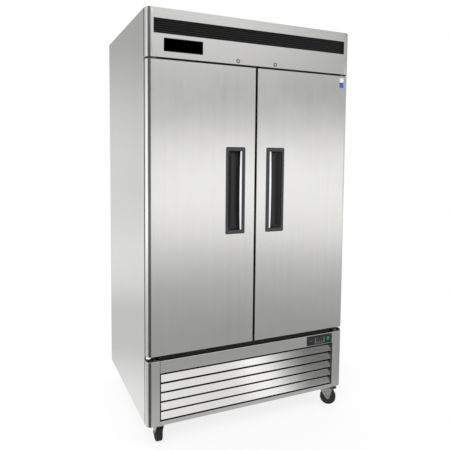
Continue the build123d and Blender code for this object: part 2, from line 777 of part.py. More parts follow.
def louvre_panel():
    edge = POST_X - GRILLE_GAP
    z0 = TRAY_Z + GRILLE_END_GAP
    z1 = STRIP_Z - GRILLE_END_GAP
    front = FRONT + GRILLE_END_BACK
    end = block(edge - GRILLE_END_T, edge, front, FRONT + GRILLE_END_D, z0, z1)
    panel = end + mirror(end, about=Plane.YZ)
    pitch = (z1 - z0 - BLADE_FOOT - BLADE_HEAD + BLADE_GAP) / BLADES
    height = pitch - BLADE_GAP
    y0 = FRONT + BLADE_SET_BACK
    y1 = y0 + BLADE_SLOPE
    half_t = GRILLE_END_T / 2
    stiffener = block(-half_t, half_t, y0 + BLADE_SLOPE / 2, FRONT + GRILLE_END_D, z0, z1)
    for i in range(BLADES):
        low = z0 + BLADE_FOOT + pitch * i
        blade = [
            (y0, low),
            (y0 + BLADE_RETURN, low),
            (y0 + BLADE_RETURN, low + SHEET),
            (y0 + SHEET, low + SHEET),
            (y1 + SHEET, low + height),
            (y1, low + height),
        ]
        panel += profile_x(blade, -edge, edge)
    return panel + stiffener


def control_strip():
    strip = pan(-POST_X, POST_X, FRONT, CAB_FRONT, STRIP_Z, BASE_TOP, EDGE_R, EDGE_R)
    cut = block(
        CONTROL_X0, CONTROL_X1, FRONT - CUT, FRONT + SHEET + CUT,
        CONTROL_Z - CONTROL_H / 2, CONTROL_Z + CONTROL_H / 2,
    )
    return strip - cut


def control_windows():
    """Each window in the controller: centre from its left end, width and height."""
    return [(DISPLAY_X, DISPLAY_W, DISPLAY_H), (POWER_X, POWER_W, POWER_H), (LAMP_X, LAMP_W, LAMP_H)]


def controller_housing():
    fit = CONTROL_FIT
    half = CONTROL_H / 2
    housing = block(
        CONTROL_X0 - CONTROL_LIP, CONTROL_X1 + CONTROL_LIP, FRONT - CONTROL_PROUD, FRONT,
        CONTROL_Z - half - CONTROL_LIP, CONTROL_Z + half + CONTROL_LIP,
    )
    housing = fillet(housing.edges().filter_by(Axis.Y), CONTROL_CORNER_R)
    housing += block(
        CONTROL_X0 + fit, CONTROL_X1 - fit, FRONT, FRONT + CONTROL_D,
        CONTROL_Z - half + fit, CONTROL_Z + half - fit,
    )
    for (x, w, h), deep in zip(control_windows(), (WINDOW_D, ROCKER_D, ROCKER_D)):
        room = ROCKER_CLEAR if deep == ROCKER_D else 0.0
        housing -= block(
            CONTROL_X0 + x - w / 2 - room, CONTROL_X0 + x + w / 2 + room,
            FRONT - 2 * CONTROL_PROUD, FRONT + deep,
            CONTROL_Z - h / 2 - 2 * room, CONTROL_Z + h / 2 + 2 * room,
        )
    return housing


def controller_display():
    x, w, h = control_windows()[0]
    return block(
        CONTROL_X0 + x - w / 2, CONTROL_X0 + x + w / 2, FRONT - CONTROL_PROUD / 3, FRONT + WINDOW_D,
        CONTROL_Z - h / 2, CONTROL_Z + h / 2,
    )


def rocker(which):
    """A rocker switch key, at rest with its lower half pressed in."""
    x, w, h = control_windows()[which]
    pivot_y = FRONT + ROCKER_AXIS_BACK
    half = h / 2
    outline = [
        (FRONT - 1.5, 0.0),
        (FRONT - 0.2, half - 0.6),
        (FRONT + 3.0, half - 0.6),
        (FRONT + 12.0, 3.0),
        (FRONT + 12.0, -3.0),
        (FRONT + 3.0, -half + 0.6),
        (FRONT - 0.2, -half + 0.6),
    ]
    key = profile_x(outline, CONTROL_X0 + x - w / 2, CONTROL_X0 + x + w / 2)
    key = Rot(ROCKER_TILT, 0, 0) * (Pos(0, -pivot_y, 0) * key)
    return Pos(0, pivot_y, CONTROL_Z) * key


def rear_grille():
    edge = RIGHT - REAR_FLANGE
    sheet = block(-edge, edge, BACK - SHEET, BACK, CASTER_H, BASE_TOP)
    bay = 2 * edge / REAR_SLOT_COLUMNS
    slot_w = bay - REAR_SLOT_APART
    for i in range(REAR_SLOT_COLUMNS):
        x = -edge + (i + 0.5) * bay
        for j in range(REAR_SLOT_ROWS):
            z = CASTER_H + REAR_SLOT_FIRST + j * REAR_SLOT_PITCH
            sheet -= block(x - slot_w / 2, x + slot_w / 2, BACK - SHEET - CUT, BACK + CUT, z, z + REAR_SLOT_H)
    gx, gz = gland_place()
    return sheet - rod_y(gx, gz, BACK - SHEET - CUT, BACK + CUT, GLAND_R + 0.2)


# ------------------------------------------------------------------ machine compartment
def compressor():
    x, y = COMPRESSOR_X, COMPRESSOR_Y
    z0 = TRAY_Z + TRAY_T
    plate_z = z0 + GROMMET_H
    plate_t = 4.0
    shell = rod_z(x, y, plate_z + plate_t, plate_z + plate_t + COMPRESSOR_H, COMPRESSOR_R)
    shell = fillet(shell.faces().sort_by(Axis.Z)[-1].edges(), COMPRESSOR_DOME_R)
    foot_x, foot_y = COMPRESSOR_FOOT_X, COMPRESSOR_FOOT_Y
    body = shell + block(x - foot_x, x + foot_x, y - foot_y, y + foot_y, plate_z, plate_z + plate_t)
    terminal_x = x - COMPRESSOR_R
    body += block(terminal_x - 22, terminal_x + 12, y - 30, y + 30, plate_z + 40, plate_z + 105)
    solids = [body]
    for dx in (GROMMET_R + 6 - foot_x, foot_x - GROMMET_R - 6):
        for dy in (GROMMET_R + 7 - foot_y, foot_y - GROMMET_R - 7):
            solids.append(rod_z(x + dx, y + dy, z0, plate_z, GROMMET_R))
    return group(solids)


def condenser_span():
    """Left, right and top of the condenser."""
    return COND_X - COND_W / 2, COND_X + COND_W / 2, COND_Z + COND_H


def condenser_coil():
    x0, x1, z1 = condenser_span()
    end, inset = END_PLATE_T, FIN_SET_BACK
    fins = block(x0 + end, x1 - end, COND_FRONT + inset, COND_BACK - inset, COND_Z + 6, z1 - 6)
    for x in (x0, x1 - end):
        fins += block(x, x + end, COND_FRONT, COND_BACK, COND_Z, z1)
    return fins


def fan_shroud():
    x0, x1, z1 = condenser_span()
    wall = SHROUD_SHEET
    back = COND_BACK + SHROUD_D
    shroud = block(x0, x1, COND_BACK, back, COND_Z, z1)
    shroud -= block(x0 + wall, x1 - wall, COND_BACK - CUT, back - wall, COND_Z + wall, z1 - wall)
    return shroud - rod_y(COND_X, COND_FAN_Z, COND_BACK, back + CUT, COND_FAN_R + FAN_RING_CLEAR)


def axial_fan(x, y, z, hub_r, tip_r, hub_l, blades, chord, pitch, shaft_r):
    """A fan rotor that turns about Y, centred on its hub."""
    rotor = rod_y(x, z, y - hub_l / 2, y + hub_l / 2, hub_r)
    length = tip_r - hub_r + 3
    blade = Pos(hub_r - 3 + length / 2, 0, 0) * Rot(pitch, 0, 0) * Box(length, 1.6, chord)
    for i in range(blades):
        rotor += Pos(x, y, z) * Rot(0, i * 360 / blades, 0) * blade
    return rotor - rod_y(x, z, y - hub_l / 2 + 4, y + hub_l / 2 + 1, shaft_r + RUN_CLEAR)


def fan_places():
    """Each fan: x, y, z, tip radius, motor radius, motor length, and the wall its arms reach."""
    y = EVAP_FRONT + 32
    cond_y = COND_BACK + SHROUD_D + 12
    return {
        "evaporator_fan_left": (-EVAP_FAN_X, y, EVAP_FAN_Z, EVAP_FAN_R, 28.0, 45.0, EVAP_FRONT + EVAP_SHEET),
        "evaporator_fan_right": (EVAP_FAN_X, y, EVAP_FAN_Z, EVAP_FAN_R, 28.0, 45.0, EVAP_FRONT + EVAP_SHEET),
        "condenser_fan": (COND_X, cond_y, COND_FAN_Z, COND_FAN_R, 42.0, 60.0, COND_BACK + SHROUD_D),
    }


def fan_rotor(name):
    x, y, z, tip_r, _, _, _ = fan_places()[name]
    return axial_fan(x, y, z, tip_r * 0.28, tip_r, 20.0, 5, tip_r * 0.55, 32.0, SHAFT_R)


def fan_motors():
    solids = []
    for x, y, z, tip_r, motor_r, motor_l, wall_y in fan_places().values():
        face = y + MOTOR_BEHIND
        motor = rod_y(x, z, face, face + motor_l, motor_r)
        motor += rod_y(x, z, y - SHAFT_R, face, SHAFT_R)
        reach = tip_r + ARM_REACH
        half = ARM_W / 2
        motor += block(x - reach, x + reach, face, face + ARM_T, z - half, z + half)
        for side in (-1, 1):
            px = x + side * (reach - ARM_FOOT / 2)
            motor += block(px - ARM_FOOT / 2, px + ARM_FOOT / 2, wall_y, face + ARM_T, z - half, z + half)
        solids.append(motor)
    return group(solids)


def gland_place():
    return -RIGHT + GLAND_IN, CASTER_H + GLAND_ABOVE


def electrical_box():
    """The box in the left rear corner, and the cord gland in the rear grille."""
    x, z = gland_place()
    half = ELECTRIC_W / 2
    z0 = TRAY_Z + TRAY_T
    box = block(x - half, x + half, BACK - ELECTRIC_FRONT_IN, BACK - REAR_GAP, z0, z0 + ELECTRIC_W)
    box = fillet(box.edges().filter_by(Axis.Z), 4.0)
    gland = rod_y(x, z, BACK - 20, BACK, GLAND_R)
    gland += rod_y(x, z, BACK - 26, BACK - SHEET, GLAND_R + 3)
    gland -= rod_y(x, z, BACK - 27, BACK + CUT, CORD_R)
    return group([box, gland])


def condensate_pan():
    y1 = BACK - REAR_GAP
    z0 = TRAY_Z + TRAY_T
    wall = PAN_WALL
    outer = block(PAN_X0, PAN_X1, PAN_FRONT, y1, z0, z0 + PAN_H)
    outer = fillet(outer.edges().filter_by(Axis.Z), 12.0)
    inner = block(PAN_X0 + wall, PAN_X1 - wall, PAN_FRONT + wall, y1 - wall, z0 + wall, z0 + PAN_H + CUT)
    return outer - fillet(inner.edges().filter_by(Axis.Z), 10.0)


def line_floor(radius):
    """The height of a line where it crosses the machine compartment."""
    return TRAY_Z + LINE_ABOVE_TRAY + 4 * radius


def refrigerant_lines():
    solids = []
    y = line_y()
    coil_back = IN_BACK - 35
    for x, z, radius in line_places():
        floor = line_floor(radius)
        points = [(x, LINE_FRONT, floor), (x, y, floor), (x, y, z), (x, coil_back, z)]
        solids.append(tube(points, [40, 18], radius))
    top = TRAY_Z + TRAY_T + 60
    start = (COMPRESSOR_X + COMPRESSOR_R, COMPRESSOR_Y - 25, top)
    cond_x = COND_X - COND_W / 2
    discharge = [
        start,
        (0, COMPRESSOR_Y - 25, top),
        (0, COND_FRONT + COND_D / 2, top),
        (cond_x, COND_FRONT + COND_D / 2, top),
    ]
    solids.append(tube(discharge, [40, 30], LINE_R))
    drier_x = LINE_X - 80
    drier_z = line_floor(LINE_R)
    drier = rod_x(LINE_FRONT, drier_z, drier_x - 60, drier_x + 30, DRIER_R)
    drier += rod_x(LINE_FRONT, drier_z, drier_x + 30, LINE_X - 2 * LINE_R, LINE_R)
    solids.append(drier)
    return group(solids)


# ------------------------------------------------------------------ interior
def shelf_grid():
    """Width and depth of one shelf, and the middle of its place on the right."""
    x0, x1 = 12.0, IN_X - PILASTER_T - 5
    y0, y1 = BEAM_BACK, IN_BACK - 20
    return x1 - x0, y1 - y0, (x0 + x1) / 2, (y0 + y1) / 2


def wire_shelves():
    w, d, cx, cy = shelf_grid()
    columns = round(w / SHELF_PITCH)
    rows = SHELF_ROWS
    bar = SHELF_BAR
    pitch_x = (w - 2 * bar + SHELF_WIRE) / columns
    pitch_y = (d - 2 * bar + SHELF_WIRE) / rows
    sheet = Rectangle(w, d)
    gaps = GridLocations(pitch_x, pitch_y, columns, rows)
    sheet -= [loc * Rectangle(pitch_x - SHELF_WIRE, pitch_y - SHELF_WIRE) for loc in gaps]
    shelf = extrude(sheet, amount=SHELF_T)
    solids = []
    for level in SHELF_LEVELS:
        for side in (-1, 1):
            solids.append(Pos(side * cx, cy, IN_FLOOR + level) * shelf)
    return group(solids)


def shelf_supports():
    """Slotted pilasters on the walls, and the clips that the shelves rest on."""
    _, d, _, cy = shelf_grid()
    z0, z1 = IN_FLOOR + 20, OPEN_TOP - 20
    mullion_back = CAB_FRONT + BREAKER_T + MULLION_D
    half = PILASTER_W / 2
    side_x = IN_X - PILASTER_T
    side_ys = (BEAM_BACK + PILASTER_FRONT_IN, IN_BACK - PILASTER_REAR_IN)
    rails = [(side_x, IN_X, y - half, y + half) for y in side_ys]
    rail_x = (CENTRE_RAIL_X - half + 0.5, CENTRE_RAIL_X + half)
    rails.append((*rail_x, mullion_back, mullion_back + CENTRE_RAIL_T))
    rails.append((*rail_x, IN_BACK - CENTRE_RAIL_T, IN_BACK))
    clips = [(side_x - CLIP_L, side_x, y - CLIP_W / 2, y + CLIP_W / 2) for y in side_ys]
    reach = SHELF_BAR * 2
    clips.append((CENTRE_RAIL_X - 1, CENTRE_RAIL_X + 9, mullion_back + CENTRE_RAIL_T, cy - d / 2 + reach))
    clips.append((CENTRE_RAIL_X - 1, CENTRE_RAIL_X + 9, cy + d / 2 - reach, IN_BACK - CENTRE_RAIL_T))
    solids = [block(*rail, z0, z1) for rail in rails]
    for level in SHELF_LEVELS:
        z = IN_FLOOR + level
        solids += [block(*clip, z - CLIP_H, z) for clip in clips]
    return group(solids + [mirror(s, about=Plane.YZ) for s in solids])


def evaporator_cover():
    half = EVAP_W / 2
    cover = block(-half, half, EVAP_FRONT, IN_BACK, EVAP_Z, IN_TOP)
    cover -= block(
        -half + EVAP_SHEET, half - EVAP_SHEET, EVAP_FRONT + EVAP_SHEET, IN_BACK + 1,
        EVAP_Z + EVAP_SHEET, IN_TOP + CUT,
    )
    ring_r = EVAP_FAN_R + FAN_RING_CLEAR
    for side in (-1, 1):
        cover -= rod_y(side * EVAP_FAN_X, EVAP_FAN_Z, EVAP_FRONT - CUT, EVAP_FRONT + EVAP_SHEET + CUT, ring_r)
    slot_x = half - 60
    slot_y = IN_BACK - 60
    return cover - block(-slot_x, slot_x, slot_y, slot_y + 16, EVAP_Z - CUT, EVAP_Z + EVAP_SHEET + CUT)


def evaporator_coil():
    half = EVAP_W / 2 - 50
    y0, y1 = EVAP_FRONT + 130, IN_BACK - 35
    z0 = EVAP_Z + EVAP_SHEET + 10
    z1 = IN_TOP - 10
    coil = block(-half + 8, half - 8, y0 + 3, y1, z0 + 3, z1 - 3)
    for x in (-half, half - 8):
        coil += block(x, x + 8, y0, y1, EVAP_Z + EVAP_SHEET, IN_TOP)
    return coil


def interior_lamp():
    y0 = BEAM_BACK + 6
    lamp = block(-200, 200, y0, y0 + 34, IN_TOP - 22, IN_TOP)
    return fillet(lamp.faces().sort_by(Axis.Z)[0].edges().filter_by(Axis.X), 8.0)


# ------------------------------------------------------------------ casters
def place_caster(name, solid):
    """Moves a caster piece from its own frame, swivel axis at x = y = 0, to its corner."""
    x, y, angle, _ = CASTERS[name]
    return Pos(x, y, 0) * Rot(0, 0, angle) * solid


def caster_bolt_places():
    places = []
    for x, y, _, _ in CASTERS.values():
        for dx in (-CASTER_BOLT_X, CASTER_BOLT_X):
            for dy in (-CASTER_BOLT_Y, CASTER_BOLT_Y):
                places.append((x + dx, y + dy))
    return places


def caster_plates():
    solids = []
    race_z = CROWN_Z + CROWN_T + LOWER_RACE_H
    for x, y, _, _ in CASTERS.values():
        plate = block(
            x - CASTER_PLATE_X / 2, x + CASTER_PLATE_X / 2, y - CASTER_PLATE_Y / 2, y + CASTER_PLATE_Y / 2,
            CASTER_H - CASTER_PLATE_T, CASTER_H,
        )
        plate = fillet(plate.edges().filter_by(Axis.Z), 5.0)
        plate += rod_z(x, y, race_z + RACE_GAP, CASTER_H - CASTER_PLATE_T, RACE_R)
        plate -= rod_z(x, y, race_z, CASTER_H - 1.5, KINGPIN_R + RUN_CLEAR)
        for dx in (-CASTER_BOLT_X, CASTER_BOLT_X):
            for dy in (-CASTER_BOLT_Y, CASTER_BOLT_Y):
                hole_z = CASTER_H - CASTER_PLATE_T - CUT
                plate -= rod_z(x + dx, y + dy, hole_z, CASTER_H + CUT, BOLT_HOLE_R)
        solids.append(plate)
    return group(solids)


def caster_fork(name):
    """Crown, kingpin and legs in one piece, and the axle bolt through the legs."""
    braked = CASTERS[name][3]
    leg_y = WHEEL_W / 2 + LEG_GAP
    outer_y = leg_y + LEG_T
    crown_top = CROWN_Z + CROWN_T
    race_top = crown_top + LOWER_RACE_H
    crown = block(-RACE_R, TRAIL + CROWN_TAIL, -outer_y, outer_y, CROWN_Z, crown_top)
    crown += rod_z(0, 0, crown_top, race_top, RACE_R + 1)
    crown += rod_z(0, 0, race_top, CASTER_H - 3, KINGPIN_R)
    tail = PEDAL_X + 6 if braked else TRAIL + CROWN_TAIL
    outline = Polyline(
        (-RACE_R, leg_y, crown_top),
        (tail, leg_y, crown_top),
        (tail, leg_y, PEDAL_Z - 5),
        (TRAIL + 9, leg_y, WHEEL_R - 6),
        (TRAIL, leg_y, WHEEL_R - 11),
        (TRAIL - 9, leg_y, WHEEL_R - 6),
        (-RACE_R, leg_y, CROWN_Z - 4),
        close=True,
    )
    leg = extrude(make_face(outline), amount=LEG_T, dir=(0, 1, 0))
    legs = leg + mirror(leg, about=Plane.XZ)
    fork = crown + legs
    end_y = outer_y + AXLE_STICKS_OUT
    axle = rod_y(TRAIL, WHEEL_R, -end_y, end_y, AXLE_R)
    for side in (-1, 1):
        y0 = outer_y + AXLE_NUT_H if side > 0 else -outer_y
        outline = RegularPolygon(AXLE_NUT_ACROSS / 2, 6, major_radius=False)
        axle += Pos(TRAIL, y0, WHEEL_R) * Rot(90, 0, 0) * extrude(outline, amount=AXLE_NUT_H)
    fork -= rod_y(TRAIL, WHEEL_R, -outer_y - CUT, outer_y + CUT, AXLE_R)
    solids = [fork, axle]
    if braked:
        solids.append(rod_y(PEDAL_X, PEDAL_Z, -leg_y, leg_y, PEDAL_PIN_R))
    return place_caster(name, group(solids))


def caster_wheel(name):
    half = WHEEL_W / 2
    wheel = rod_y(TRAIL, WHEEL_R, -half, half, WHEEL_R)
    wheel = fillet(wheel.edges(), TREAD_R)
    for side in (-1, 1):
        y0, y1 = sorted((side * (half - WHEEL_DISH), side * (half + CUT)))
        dish = rod_y(TRAIL, WHEEL_R, y0, y1, WHEEL_R - WHEEL_RIM)
        wheel -= dish - rod_y(TRAIL, WHEEL_R, y0, y1, HUB_R)
    wheel -= rod_y(TRAIL, WHEEL_R, -WHEEL_W, WHEEL_W, AXLE_R + RUN_CLEAR)
    return place_caster(name, wheel)


def brake_pedal(name):
    """The foot pedal of a front caster, released."""
    half = WHEEL_W / 2 - 2
    lever = block(0, PEDAL_LENGTH, -half, half, PEDAL_T / 2, PEDAL_T * 1.5)
    lever = fillet(lever.edges().filter_by(Axis.Z).group_by(Axis.X)[-1], 6.0)
    lever += rod_y(0, 0, -half, half, PEDAL_BARREL_R)
    lever += block(11, 16, -half, half, -9, 2)
    lever -= rod_y(0, 0, -half - CUT, half + CUT, PEDAL_PIN_R + RUN_CLEAR)
    lever = Pos(PEDAL_X, 0, PEDAL_Z) * Rot(0, -PEDAL_TILT, 0) * lever
    return place_caster(name, lever)


# ------------------------------------------------------------------ fasteners
def hinge_screw(x, y, z0, z1, head_z, nut_z):
    """A screw through a bracket and a sheet, with its head and its nut."""
    screw = rod_z(x, y, z0, z1, SCREW_R)
    screw += rod_z(x, y, *head_z, SCREW_HEAD_R)
    return screw + hexagon(x, y, *nut_z, SCREW_NUT_ACROSS)


def fasteners():
    solids = []
    for x, y in caster_bolt_places():
        z0 = CASTER_H - CASTER_PLATE_T
        top = CASTER_H + RAIL_SHEET
        bolt = rod_z(x, y, z0, top, BOLT_R)
        bolt += hexagon(x, y, z0 - BOLT_HEAD_H, z0, BOLT_HEAD_ACROSS)
        bolt += hexagon(x, y, top, top + BOLT_NUT_H, BOLT_HEAD_ACROSS)
        solids.append(bolt)
    for x, y in bottom_screw_places():
        z0, z1 = BASE_TOP - SHEET, BASE_TOP + BRACKET_T
        screw = hinge_screw(x, y, z0, z1, (z1, z1 + 3), (z0 - SCREW_NUT_H, z0))
        solids += [screw, mirror(screw, about=Plane.YZ)]
    for x, y in top_screw_places():
        z0, z1 = HEADER_Z - TOP_BRACKET_T, HEADER_Z + SHEET
        screw = hinge_screw(x, y, z0, z1, (z0 - 2, z0), (z1, z1 + SCREW_NUT_H))
        solids += [screw, mirror(screw, about=Plane.YZ)]
    return group(solids)


# ------------------------------------------------------------------ the whole refrigerator
def all_parts():
    parts = {
        "side_panels": side_panels(),
        "shell_panels": shell_panels(),
        "cabinet_foam": cabinet_foam(),
        "inner_liner": inner_liner(),
        "breaker_frame": breaker_frame(),
        "centre_mullion": centre_mullion(),
        "header_fascia": header_fascia(),
        "header_louvre": header_louvre(),
        "name_plate": name_plate(),
        "lock_housings": lock_housings(),
        "hinge_brackets": hinge_brackets(),
        "base_frame": base_frame(),
        "corner_posts": corner_posts(),
        "louvre_panel": louvre_panel(),
        "control_strip": control_strip(),
        "controller_housing": controller_housing(),
        "controller_display": controller_display(),
        "power_rocker": rocker(1),
        "light_rocker": rocker(2),
        "rear_grille": rear_grille(),
        "compressor": compressor(),
        "condenser_coil": condenser_coil(),
        "fan_shroud": fan_shroud(),
        "fan_motors": fan_motors(),
        "electrical_box": electrical_box(),
        "condensate_pan": condensate_pan(),
        "refrigerant_lines": refrigerant_lines(),
        "wire_shelves": wire_shelves(),
        "shelf_supports": shelf_supports(),
        "evaporator_cover": evaporator_cover(),
        "evaporator_coil": evaporator_coil(),
        "interior_lamp": interior_lamp(),
        "caster_plates": caster_plates(),
        "fasteners": fasteners(),
    }
    for name in fan_places():
        parts[name] = fan_rotor(name)
    for name in CASTERS:
        parts[f"caster_fork_{name}"] = caster_fork(name)
        parts[f"caster_wheel_{name}"] = caster_wheel(name)
        if CASTERS[name][3]:
            parts[f"brake_pedal_{name}"] = brake_pedal(name)
    door = {
        "door_skin": door_skin(),
        "door_core": door_core(),
        "door_liner": door_liner(),
        "door_gasket": door_gasket(),
        "door_handle": door_handle(),
        "lock_plug": lock_plug(),
    }
    for name, right in door.items():
        parts[f"{name}_right"] = right
        parts[f"{name}_left"] = mirror(right, about=Plane.YZ)
    return parts


os.makedirs("parts", exist_ok=True)
for part_name, shape in all_parts().items():
    export_step(shape, f"parts/{part_name}.step")
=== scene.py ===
"""Finish and fine detail for a two-door reach-in refrigerator, built round its CAD frame.

Metres. +Z is up, the doors face -Y, and the origin is on the floor under the middle of the cabinet.
"""

import json
from math import cos, pi, radians, sin

import bmesh
import bpy
from bpy.props import FloatProperty, FloatVectorProperty, IntProperty
from mathutils import Matrix, Vector

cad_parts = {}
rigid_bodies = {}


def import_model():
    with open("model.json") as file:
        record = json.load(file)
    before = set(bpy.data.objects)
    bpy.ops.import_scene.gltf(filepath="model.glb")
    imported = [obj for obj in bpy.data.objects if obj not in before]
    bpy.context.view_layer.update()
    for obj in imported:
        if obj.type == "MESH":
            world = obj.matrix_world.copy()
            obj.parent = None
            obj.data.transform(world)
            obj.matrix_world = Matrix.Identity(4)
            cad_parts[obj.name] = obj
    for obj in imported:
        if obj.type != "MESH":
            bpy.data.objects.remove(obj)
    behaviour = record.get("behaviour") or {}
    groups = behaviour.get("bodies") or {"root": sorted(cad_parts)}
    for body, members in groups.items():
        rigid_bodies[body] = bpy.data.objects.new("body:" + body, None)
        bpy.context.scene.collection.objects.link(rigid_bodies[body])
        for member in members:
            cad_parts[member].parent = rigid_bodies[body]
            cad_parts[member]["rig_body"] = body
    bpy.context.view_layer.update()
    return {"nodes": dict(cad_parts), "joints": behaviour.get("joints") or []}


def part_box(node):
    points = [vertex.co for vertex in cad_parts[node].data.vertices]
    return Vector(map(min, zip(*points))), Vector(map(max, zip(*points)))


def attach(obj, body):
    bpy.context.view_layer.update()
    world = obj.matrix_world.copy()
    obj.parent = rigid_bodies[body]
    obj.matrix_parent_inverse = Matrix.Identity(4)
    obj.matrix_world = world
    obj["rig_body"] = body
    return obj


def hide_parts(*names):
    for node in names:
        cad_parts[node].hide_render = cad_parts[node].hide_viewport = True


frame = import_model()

bl_info = {
    "name": "Reach-in refrigerator",
    "version": (1, 0, 0),
    "blender": (4, 5, 0),
    "location": "View3D > Sidebar > Refrigerator",
    "description": "Builds the finish and the fine detail of a two-door reach-in refrigerator",
    "category": "Add Mesh",
}

NODES = frame["nodes"]
SIDES = {"left": -1, "right": 1}
CASTERS = ("front_left", "front_right", "rear_left", "rear_right")
EPS = 1e-5

LOCK_RADIUS = 0.010

_, SIDE_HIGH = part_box("side_panels")
HALF_WIDTH = SIDE_HIGH.x
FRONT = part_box("header_fascia")[0].y
BACK = SIDE_HIGH.y
TOP = SIDE_HIGH.z


# ------------------------------------------------------------------ settings
class SheetSettings(bpy.types.PropertyGroup):
    """Sizes of the folded stainless sheet and its brushed finish."""

    thickness: FloatProperty(
        name="Sheet", description="Thickness of the stainless sheet", default=0.0012, unit="LENGTH"
    )
    corner: FloatProperty(
        name="Corner radius", description="Radius of the rounded vertical corners",
        default=0.025, unit="LENGTH",
    )
    fold: FloatProperty(
        name="Fold radius", description="Radius of the small folds", default=0.0022, unit="LENGTH"
    )
    colour: FloatVectorProperty(
        name="Stainless", description="Colour of the brushed stainless",
        default=(0.79, 0.785, 0.775), subtype="COLOR",
    )
    galvanised: FloatVectorProperty(
        name="Galvanised", description="Colour of the galvanised sheet",
        default=(0.56, 0.57, 0.58), subtype="COLOR",
    )


class TrimSettings(bpy.types.PropertyGroup):
    """Sizes and colours of the handles, the controller and the other trim."""

    moulding: FloatVectorProperty(
        name="Black moulding", description="Colour of the black plastic",
        default=(0.014, 0.014, 0.015), subtype="COLOR",
    )
    pocket: FloatProperty(
        name="Handle pocket", description="Depth of the handle's pocket", default=0.024, unit="LENGTH"
    )
    lamp: FloatVectorProperty(
        name="Power lamp", description="Colour of the lit power switch",
        default=(0.0, 0.15, 0.085), subtype="COLOR",
    )
    bezel: FloatVectorProperty(
        name="Display bezel", description="Colour of the display's bezel",
        default=(0.10, 0.10, 0.095), subtype="COLOR",
    )


class CasterSettings(bpy.types.PropertyGroup):
    """Sizes and colours of the casters."""

    tread: FloatProperty(
        name="Tread radius", description="Radius of the rounded edge of the tread",
        default=0.006, unit="LENGTH",
    )
    steps: IntProperty(name="Wheel steps", description="Steps round a wheel", default=56, min=12, max=120)
    rubber: FloatVectorProperty(
        name="Rubber", description="Colour of the tread", default=(0.010, 0.010, 0.011), subtype="COLOR"
    )


class StageSettings(bpy.types.PropertyGroup):
    """The camera's lens and the tone of the surroundings."""

    lens: FloatProperty(name="Lens", description="Focal length in millimetres", default=38.47, unit="CAMERA")
    shadow: FloatProperty(
        name="Shadow", description="How much of the floor's own shading the camera sees",
        default=0.22, subtype="FACTOR",
    )


# ------------------------------------------------------------------ shader nodes
class Socket:
    """One output of a shader node. Arithmetic on it adds Math nodes."""

    def __init__(self, graph, output):
        self.graph = graph
        self.output = output

    def maths(self, operation, *terms):
        inputs = dict(enumerate(terms))
        return self.graph.node("Math", {"operation": operation}, inputs)

    def __add__(self, other):
        return self.maths("ADD", self, other)

    def __radd__(self, other):
        return self.maths("ADD", other, self)

    def __sub__(self, other):
        return self.maths("SUBTRACT", self, other)

    def __rsub__(self, other):
        return self.maths("SUBTRACT", other, self)

    def __mul__(self, other):
        return self.maths("MULTIPLY", self, other)

    def __rmul__(self, other):
        return self.maths("MULTIPLY", other, self)

    def __truediv__(self, other):
        return self.maths("DIVIDE", self, other)

    def __pow__(self, other):
        return self.maths("POWER", self, other)


    def join_to(self, key, value):
        """Feeds one of the inputs of this output's node."""
        self.graph.join(self.output.node.inputs[key], value)


class Graph:
    """A shader tree whose nodes come from one method."""

    def __init__(self, tree):
        self.tree = tree
        tree.nodes.clear()

    def join(self, target, value):
        if isinstance(value, Socket):
            self.tree.links.new(value.output, target)
        elif isinstance(value, (tuple, list)) and len(value) == 3 and target.type == "RGBA":
            target.default_value = (*value, 1.0)
        else:
            target.default_value = value

    def node(self, kind, settings=None, inputs=None, output=0):
        made = self.tree.nodes.new("ShaderNode" + kind)
        for name, value in (settings or {}).items():
            if name == "stops":
                self.set_stops(made.color_ramp, value)
            else:
                setattr(made, name, value)
        for key, value in (inputs or {}).items():
            self.join(made.inputs[key], value)
        return Socket(self, made.outputs[output]) if len(made.outputs) else made

    def finish(self, kind, shader):
        """The tree's output node."""
        self.node(kind, {}, {"Surface": shader})

    def set_stops(self, ramp, stops):
        while len(ramp.elements) > 1:
            ramp.elements.remove(ramp.elements[-1])
        ramp.elements[0].position = stops[0][0]
        for position, _ in stops[1:]:
            ramp.elements.new(position)
        for element, (_, tone) in zip(ramp.elements, stops):
            colour = tone if isinstance(tone, tuple) else (tone,) * 3
            element.color = (*colour, 1.0)

    def ramp(self, value, stops, ease="LINEAR"):
        made = self.node("ValToRGB", {"stops": stops}, {0: value})
        made.output.node.color_ramp.interpolation = ease
        return made

    def mix(self, factor, first, second):
        return self.node("Mix", {"data_type": "RGBA"}, {0: factor, 6: first, 7: second}, 2)

    def noise(self, coordinates, scale, detail=2.0, roughness=0.5):
        """Noise from 0 to 1. A scale of three numbers stretches it."""
        stretched = coordinates
        if isinstance(scale, tuple):
            stretched = self.node("Mapping", {}, {"Vector": coordinates, "Scale": scale})
            scale = 1.0
        inputs = {"Vector": stretched, "Scale": scale, "Detail": detail, "Roughness": roughness}
        return self.node("TexNoise", {}, inputs)

    def object_coordinates(self):
        return self.node("TexCoord", output="Object")

    def parts_of(self, vector):
        split = self.node("SeparateXYZ", {}, {0: vector}).output.node
        return [Socket(self, output) for output in split.outputs]


